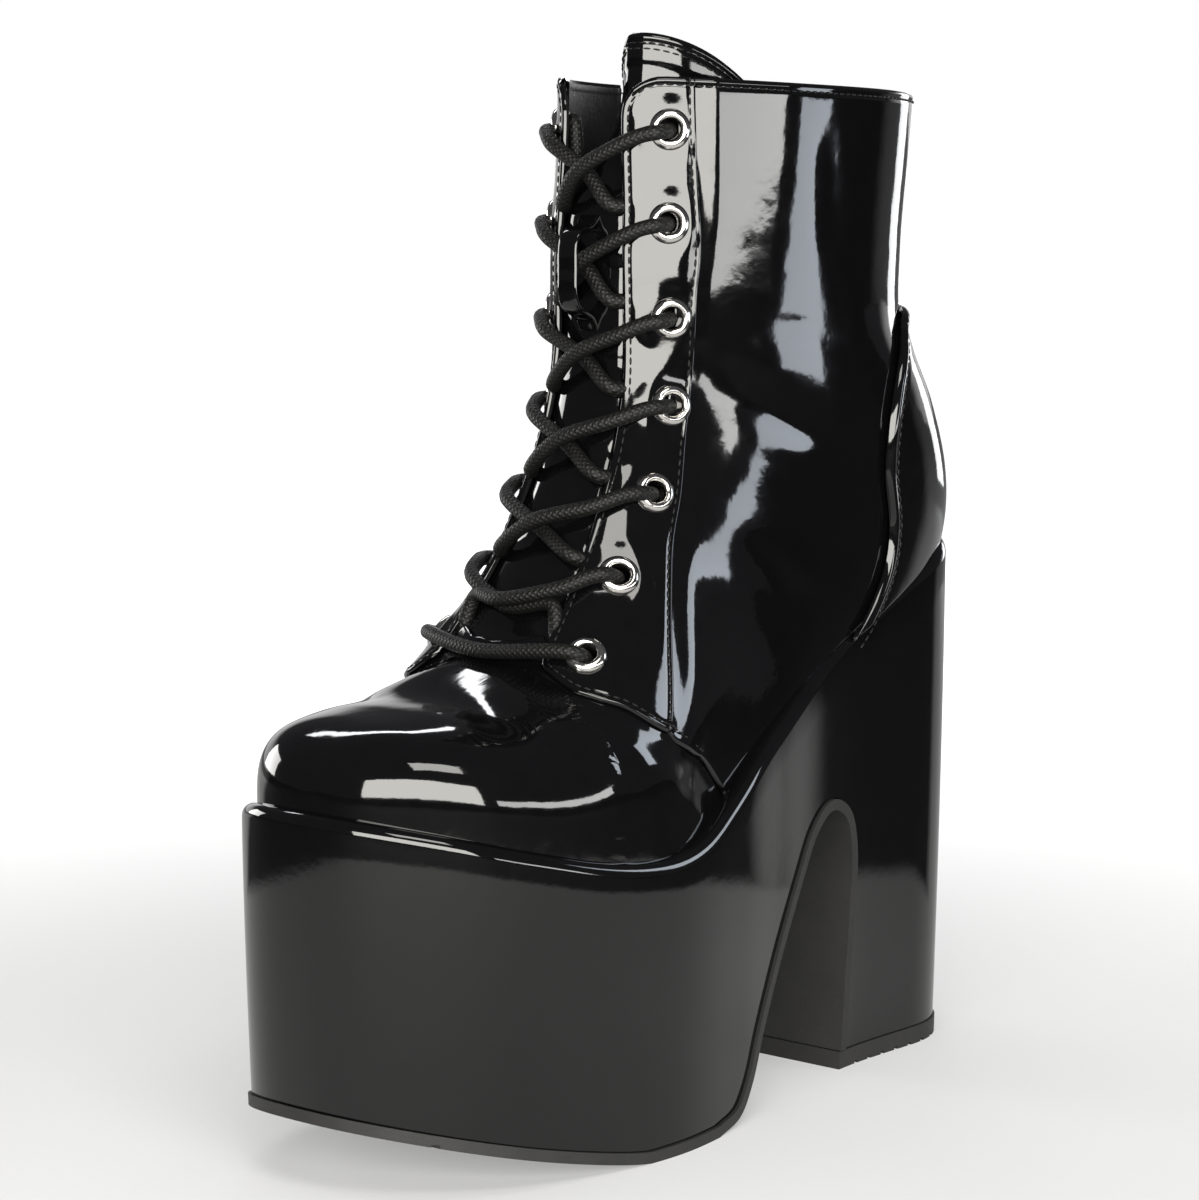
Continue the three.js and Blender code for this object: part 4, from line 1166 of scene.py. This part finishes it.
height = on_last(*zip_line.T)[:, 2]
chain = zip_line[(height > ZIP_START) & (height < ZIP_TOP)]
chain = calmed(rounded_path(chain[:: max(len(chain) // 40, 1)], 0.02), 12)
tape_aside = np.linspace(-1, 1, 9) * ZIP_TAPE / 2
tape_net = np.stack([skin(heelward(chain, MEDIAL, d), ZIP_UNDER) for d in tape_aside], 1)
tape = piece("zip_tape", grid_mesh(framed(tape_net)), [tape_finish], flip=True)
walled(tape, TAPE_THICK)
cured(tape)

coil_mesh = bmesh.new()
far = lengths(skin(chain))
for k, at in enumerate(np.arange(COIL_PITCH, far[-1], COIL_PITCH / 2)):
    place = np.array([[np.interp(at, far, chain[:, 0]), np.interp(at, far, chain[:, 1])]])
    up, _ = slopes(*place[0])
    up /= np.linalg.norm(up)
    out = outward(*place[0])
    sideways = np.cross(out, up) * (1 if k % 2 else -1)
    middle = skin(place, -1.5)[0] + sideways * 1.0
    capsule(coil_mesh, framed(middle), sideways + 0.16 * up, (1.75, 0.48, 0.62))
coil = piece("zip_coil", coil_mesh, [coil_finish], sharp=None)
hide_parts("zip_chain")
tape_rows = [(heelward(chain, MEDIAL, d), ZIP_UNDER + 0.1) for d in (-2.7, 2.7)]
stitches("coil_stitches", tape_rows, pitch=1.6, thick=0.22)

swing = frame["joints"][0]
pin = Vector(swing["pos_m"])
pin_way = -Vector(swing["axis"]).normalized()
PIN_OUT = 5.0
slider_out = pin_way.cross(Vector((0, 0, 1)))
slider_seat = Matrix((pin_way, Vector((0, 0, 1)), slider_out)).transposed().to_4x4()
slider_seat.translation = pin - slider_out * PIN_OUT * MM


def seated(bm, middle):
    """Moves a part from the slider's own millimetres to its place in the frame."""
    bmesh.ops.translate(bm, vec=Vector(middle) * MM, verts=bm.verts)
    bmesh.ops.transform(bm, matrix=slider_seat, verts=bm.verts)
    return bm


def block(size, middle, bevel, narrow=1.0, segments=3):
    """A bevelled metal block in the slider's own frame, narrowed at its lower end."""
    bm = bmesh.new()
    bmesh.ops.create_cube(bm, size=1)
    bmesh.ops.scale(bm, vec=Vector(size) * MM, verts=bm.verts)
    bmesh.ops.scale(bm, vec=(narrow, 1, 1), verts=[v for v in bm.verts if v.co.y < 0])
    bmesh.ops.bevel(
        bm, geom=bm.edges[:], offset=bevel * MM, offset_type="OFFSET", affect="EDGES",
        segments=segments, profile=0.5, material=-1,
    )
    return seated(bm, middle)


def round_bar(radius, length, middle=(0, 0, PIN_OUT), segments=24):
    bm = bmesh.new()
    bmesh.ops.create_cone(
        bm, cap_ends=True, segments=segments, radius1=radius * MM, radius2=radius * MM,
        depth=length * MM, matrix=Matrix.Rotation(np.pi / 2, 4, "Y"),
    )
    return seated(bm, middle)


def joined(name, parts, body):
    """One piece of nickel from overlapping parts."""
    made = piece(name, parts[0], [nickel], body=body)
    for part in parts[1:]:
        cut(made, piece("part", part, [nickel], body=None), "UNION")
    return made


slider = joined("zip_slider_body", [
    block((8.6, 11.8, 1.7), (0, -0.4, 1.85), 0.7, 0.62),
    block((0.9, 4.6, 4.4), (-2.05, 0, 4.0), 0.35),
    block((0.9, 4.6, 4.4), (2.05, 0, 4.0), 0.35),
    block((2.6, 3.2, 1.2), (0, -2.9, 2.7), 0.3),
    round_bar(0.6, 4.6),
], "boot")
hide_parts("zip_slider")
tab = joined("zip_tab", [
    block((5.4, 19, 1.2), (0, -15, PIN_OUT), 0.28),
    block((2.6, 6, 1.3), (0, -3.6, PIN_OUT), 0.28),
    round_bar(1.8, 2.6),
], "pull_tab")
cut(tab, piece("eye", round_bar(0.95, 5), [nickel], body=None))
cut(tab, piece("slot", block((2.2, 5, 4), (0, -21, PIN_OUT), 0.9), [nickel], body=None))
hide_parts("zip_pull")


# ---------- insole ----------
# A thin foam sock covered in black lining, glued along the inside of the platform.

SOCK_TOP, SOCK_GAP, SOCK_THICK = 2.3, 2.2, 2
sock_finish = mottled(
    "sock lining", (0.7, 4, 0.65), (0.007, 0.007, 0.0075), (0.024, 0.024, 0.025), 0.14,
    Roughness=0.7,
).finish_bump()

sock_t = -0.04 + (level(FEATHER, [np.pi], 4, 7, SOCK_TOP)[0] + 0.04) * np.linspace(0, 1, 160) ** 0.8
edges = [on_last(sock_t, feather_turn(sock_t, side, SOCK_TOP)) for side in (MEDIAL, LATERAL)]
sock_share = np.linspace(0, 1, 25)[None, :, None]
sock_net = edges[0][:, None] * (1 - sock_share) + edges[1][:, None] * sock_share
half = np.abs(edges[1][:, 0] - edges[0][:, 0]) / 2
sock_net[..., 0] *= (np.maximum(half - SOCK_GAP, 0.2) / half)[:, None]
sock_net[..., 1] = np.clip(sock_net[..., 1], TOE_TIP + 8, HEEL_BACK - 4.5)
sock_net[..., 2] = feather(sock_net[..., 1]) + SOCK_TOP
sock = piece("insole_sock", grid_mesh(framed(sock_net)), [sock_finish], flip=False)
walled(sock, SOCK_THICK)
cured(sock)
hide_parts("insole")


# ---------- platform and heel ----------
# One light moulded core, platform and block heel together, wrapped in patent leather that is
# drawn over its top edge. The arch between them is open.

DRAFT, SHOULDER, SOLE_THICK, GAP = 2.4, 4.0, 3.0, 0.3
TOE_SPRING, SPRING_START, SPRING_POWER = 17.7, -52, 1.2
LIFT_THICK, HEEL_FRONT, FLOOR_CUT = 5.0, 53, -6
BEHIND = 140
ARCH = np.array([  # y, z of the outsole behind the tread: up the arch and down the heel's front
    (-22, 0), (-10, 2.8), (-3.5, 10), (3, 23), (15, 42.5), (27, 59), (36, 70), (45, 74.6), (53, 71),
    (56.2, 61), (55.6, 44), (54, 22), (53, 0),
])
platform_finish = patent("platform patent", wave=0.035, peel=0.003)


def half_width(side, y):
    toe = round_end(y - TOE_TIP, TOE_ROUND, TOE_POWER)
    heel = round_end(HEEL_BACK - y, HEEL_ROUND, HEEL_POWER)
    return smooth(OUTLINE, y)[..., side - 1] * toe * heel


def outline(inset, count=280):
    """The platform seen from above, from the toe round the outer side and back."""
    angle = (np.arange(count) + 0.5) / count * 2 * np.pi
    y = (TOE_TIP + HEEL_BACK) / 2 - (HEEL_BACK - TOE_TIP) / 2 * np.cos(angle)
    x = np.where(angle < np.pi, half_width(LATERAL, y), -half_width(MEDIAL, y))
    points = np.stack([x, y], 1)
    ahead = np.roll(points, -1, 0) - np.roll(points, 1, 0)
    ahead /= np.linalg.norm(ahead, axis=1, keepdims=True)
    return points + np.stack([-ahead[:, 1], ahead[:, 0]], 1) * inset


def sole_form(name, finish, grow):
    """The whole form from the floor to the feather line, closed above and below."""
    rings = [(0, 0, DRAFT, share) for share in (0, 0.5)]
    for share in np.linspace(0, 1, 16):
        rings.append((share, SHOULDER * share, DRAFT * (1 - share) ** 1.6, 1))
    for turn in np.linspace(0, np.pi / 2, 9)[1:]:
        rings.append((1, SHOULDER * (1 - np.sin(turn)), SHOULDER * (1 - np.cos(turn)), 1))
    rings += [(1, 0, SHOULDER, share) for share in (0.85, 0.6, 0.3, 0)]
    net = []
    for share, drop, inset, wide in rings:
        edge = outline(inset - grow)
        top = feather(edge[:, 1])
        height = FLOOR_CUT + 2 + (top - FLOOR_CUT - 2) * share - drop
        ring = np.stack([edge[:, 0] * wide, edge[:, 1], height], 1)
        net.append(np.concatenate([ring, ring[:1]]))
    return piece(name, grid_mesh(framed(net), close=True), [finish], flip=None)


def prism(points, name="prism", half=0.07):
    """A side-view shape made solid across the whole width, to cut with."""
    bm = bmesh.new()
    corners = [framed((0, *point)) * (0, 1, 1) - (half, 0, 0) for point in points]
    face = bm.faces.new([bm.verts.new(corner) for corner in corners])
    pulled = bmesh.ops.extrude_face_region(bm, geom=[face])["geom"]
    moved = [v for v in pulled if isinstance(v, bmesh.types.BMVert)]
    bmesh.ops.translate(bm, vec=(2 * half, 0, 0), verts=moved)
    return piece(name, bm, [], body=None)


def underfoot(low_y, high_y, low=FLOOR_CUT, high=LIFT_THICK + GAP):
    """A box in the side view."""
    return [(low_y, low), (high_y, low), (high_y, high), (low_y, high)]


def tread_rise(y):
    """How far the tread springs off the floor towards the toe."""
    ahead = np.maximum(SPRING_START - np.asarray(y, float), 0) / (SPRING_START - TOE_TIP)
    return TOE_SPRING * ahead**SPRING_POWER


def moved_aside(line, distance):
    ahead = np.gradient(line, axis=0)
    ahead /= np.linalg.norm(ahead, axis=1, keepdims=True)
    return line + np.stack([-ahead[:, 1], ahead[:, 0]], 1) * distance


tread_y = np.linspace(TOE_TIP - 6, SPRING_START, 30)
tread = np.stack([tread_y, tread_rise(tread_y)], 1)
sole_line = np.concatenate([tread, rounded_path(ARCH, 1.5)])
core_line = moved_aside(sole_line, SOLE_THICK + GAP)
under_core = [(-150, FLOOR_CUT), (-150, core_line[0, 1]), *core_line, (core_line[-1, 0], FLOOR_CUT)]

platform = sole_form("platform_and_heel", platform_finish, 0)
cut(platform, prism(under_core))
cut(platform, prism(underfoot(HEEL_FRONT - 1, BEHIND)))
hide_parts("platform_heel")


# ---------- outsole and heel lift ----------
# Dark grey rubber sheet glued under the platform, through the arch and down the heel's front,
# with shallow grooves across the tread; the heel stands on a thicker lift of the same rubber.

rubber = Finish("outsole rubber", IOR=1.5)
rubber_grain = rubber.noise(0.6, 4, 0.6)
rubber_dust = rubber.noise(9, 4, 0.6)
rubber.feed("Base Color", rubber.mix(rubber_dust, (0.008, 0.008, 0.0083), (0.018, 0.0175, 0.017)))
rubber.feed("Roughness", 0.5 + rubber_grain * 0.25)
rubber.raise_by(rubber_grain, 0.09)
rubber.finish_bump()

SOLE_FLARE, GROOVE, GROOVE_PITCH = 0.9, 1.6, 6.5
outsole = sole_form("rubber_outsole", rubber, SOLE_FLARE)
inner_line = moved_aside(sole_line, SOLE_THICK)
cut(outsole, prism([*sole_line, *inner_line[::-1]]), "INTERSECT")
cut(outsole, prism(underfoot(HEEL_FRONT - 10, HEEL_FRONT + 37)))
lift = sole_form("rubber_heel_lift", rubber, SOLE_FLARE * 0.6)
cut(lift, prism(underfoot(HEEL_FRONT, BEHIND, 0, LIFT_THICK)), "INTERSECT")
groove = Matrix.Diagonal((0.072, GROOVE * MM, GROOVE * MM, 1))
for made, stations in (
    (outsole, np.arange(-112, -26, GROOVE_PITCH)), (lift, np.arange(62, 112, GROOVE_PITCH)),
):
    grooves = bmesh.new()
    for y in stations:
        place = Matrix.Translation(framed((0, y, tread_rise(y))))
        bmesh.ops.create_cube(grooves, size=1, matrix=place @ groove)
    cut(made, piece("grooves", grooves, [], body=None))
for made, node in ((outsole, "outsole"), (lift, "heel_lift")):
    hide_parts(node)


# ---------- studio ----------
# A white floor that runs off into a white backdrop, lit by a long cream softbox in front, a
# white one and a narrow window on the outer side, and softer ones on the inner side and behind.
# The rest of the studio is dark. The floor's light is partly painted: to the camera it glows,
# weakly near the shoe and white further off; in reflections it is a pale, faintly glowing patch
# near the shoe and black beyond.

BACKDROP = (-0.66, 0.75, 0)

bpy.context.scene.view_settings.view_transform = "Standard"
floor_finish = Finish("studio floor", Roughness=0.9, Specular_IOR_Level=0.1)
floor_finish.shader.inputs["Emission Strength"].default_value = 1.0
floor_where = floor_finish.node("ShaderNodeTexCoord", output="Object")
floor_gap = floor_finish.vector_sum("DISTANCE", floor_where, (0.05, -0.12, 0))
floor_near = floor_finish.ramp(floor_gap, 0.385, 0.42, 1, 0.07)
floor_way = floor_finish.node("ShaderNodeVectorMath", {"operation": "NORMALIZE"}, {0: floor_where})
floor_behind = floor_finish.vector_sum("DOT_PRODUCT", floor_way, BACKDROP)
floor_bright = floor_near.sum("MAXIMUM", floor_near, floor_finish.ramp(floor_behind, 0.5, 0.64))
floor_seen = floor_finish.node("ShaderNodeLightPath", output="Is Camera Ray")
floor_grain = floor_finish.noise(3, 3)
floor_far = floor_finish.ramp(floor_gap, 0.2, 0.9)
floor_pale = floor_finish.mix(floor_grain, (0.4, 0.4, 0.4), (0.42, 0.42, 0.42))
# Painted reflection: to all but camera rays the floor is pale only near the shoe and towards the
# backdrop, and black beyond.
floor_painted_patch = floor_finish.mix(floor_bright, (0, 0, 0), floor_pale)
floor_finish.feed("Base Color", floor_finish.mix(floor_seen, floor_painted_patch, floor_pale))
# Painted glow for reflections only: the same near patch glows a little, the far floor not at all.
floor_glow = floor_finish.mix(floor_bright, (0, 0, 0), (0.12, 0.12, 0.118))
# Painted glow to the camera: weak near the shoe, so that the lamps' real shadows show, and full
# white further off.
floor_painted_glow = floor_finish.mix(floor_far, (0.3, 0.3, 0.3), (1, 1, 1))
floor_finish.feed("Emission Color", floor_finish.mix(floor_seen, floor_glow, floor_painted_glow))
floor_mesh = bmesh.new()
bmesh.ops.create_circle(floor_mesh, cap_ends=True, segments=96, radius=9)
floor = piece("studio_floor", floor_mesh, [floor_finish], body=None, flip=False)

studio = bpy.data.worlds.new("studio")
bpy.context.scene.world = studio
air = Nodes(studio)
way = air.node("ShaderNodeTexCoord", output="Generated")
height = air.node("ShaderNodeSeparateXYZ", {}, {0: way}, output="Z")
backdrop = air.ramp(air.vector_sum("DOT_PRODUCT", way, BACKDROP), 0.6, 0.74)
low = air.ramp(height, 0.3, 0.15)
surroundings = air.mix(backdrop * low, (0.07, 0.07, 0.075), (1, 1, 1))
seen = air.node("ShaderNodeLightPath", output="Is Camera Ray")
air.join(air.mix(seen, surroundings, (1, 1, 1)), air.tree.nodes["Background"].inputs["Color"])


def softbox(name, place, size, radiance, colour, aim=(0, 0, 0.16)):
    """A soft light at (azimuth, distance, height) from the shoe, facing it."""
    azimuth, distance, height = radians(place[0]), place[1], place[2]
    data = bpy.data.lights.new(name, "AREA")
    data.shape = "RECTANGLE"
    data.size, data.size_y = size
    data.energy = radiance * np.pi * size[0] * size[1]
    data.color = colour
    lamp = bpy.data.objects.new(name, data)
    lamp.location = (np.sin(azimuth) * distance, -np.cos(azimuth) * distance, height)
    lamp.rotation_euler = (lamp.location - Vector(aim)).to_track_quat("Z", "Y").to_euler()
    lamp.visible_camera = False
    bpy.context.scene.collection.objects.link(lamp)
    return lamp


# name, place, size, radiance, colour, aim
softbox("key", (40, 1.1, 0.36), (1.4, 0.48), 13, (1, 0.985, 0.93), (0, 0, 0.36))
softbox("side", (100, 1.1, 0.17), (0.76, 0.1), 10, (0.99, 1, 0.98), (0, 0, 0.17))
softbox("window", (132, 0.245, 0.206), (0.052, 0.088), 6.5, (0.84, 0.91, 1), (0.03, 0.033, 0.206))
softbox("shoulder", (-119, 1.0, 1.05), (0.8, 0.1), 10, (0.97, 0.98, 1), (0, -0.08, 0.12))
softbox("front", (56, 0.75, 1.0), (0.55, 0.3), 9, (1, 0.985, 0.93), (0, -0.03, 0.15))
softbox("inner side", (-84, 1.3, 0.34), (0.55, 0.44), 7, (1, 0.99, 0.97), (0, 0, 0.3))
softbox("inner heel", (-142, 1.2, 0.3), (0.3, 0.5), 4, (0.95, 0.98, 1), (0, 0, 0.3))
softbox("heel", (186, 1.2, 0.3), (0.24, 0.5), 4, (0.97, 0.98, 1), (0, 0, 0.3))
overhead = softbox("overhead", (0, 0.05, 1.8), (1.6, 1.6), 1.6, (1, 1, 1), (0, 0, 0))
overhead.visible_glossy = False
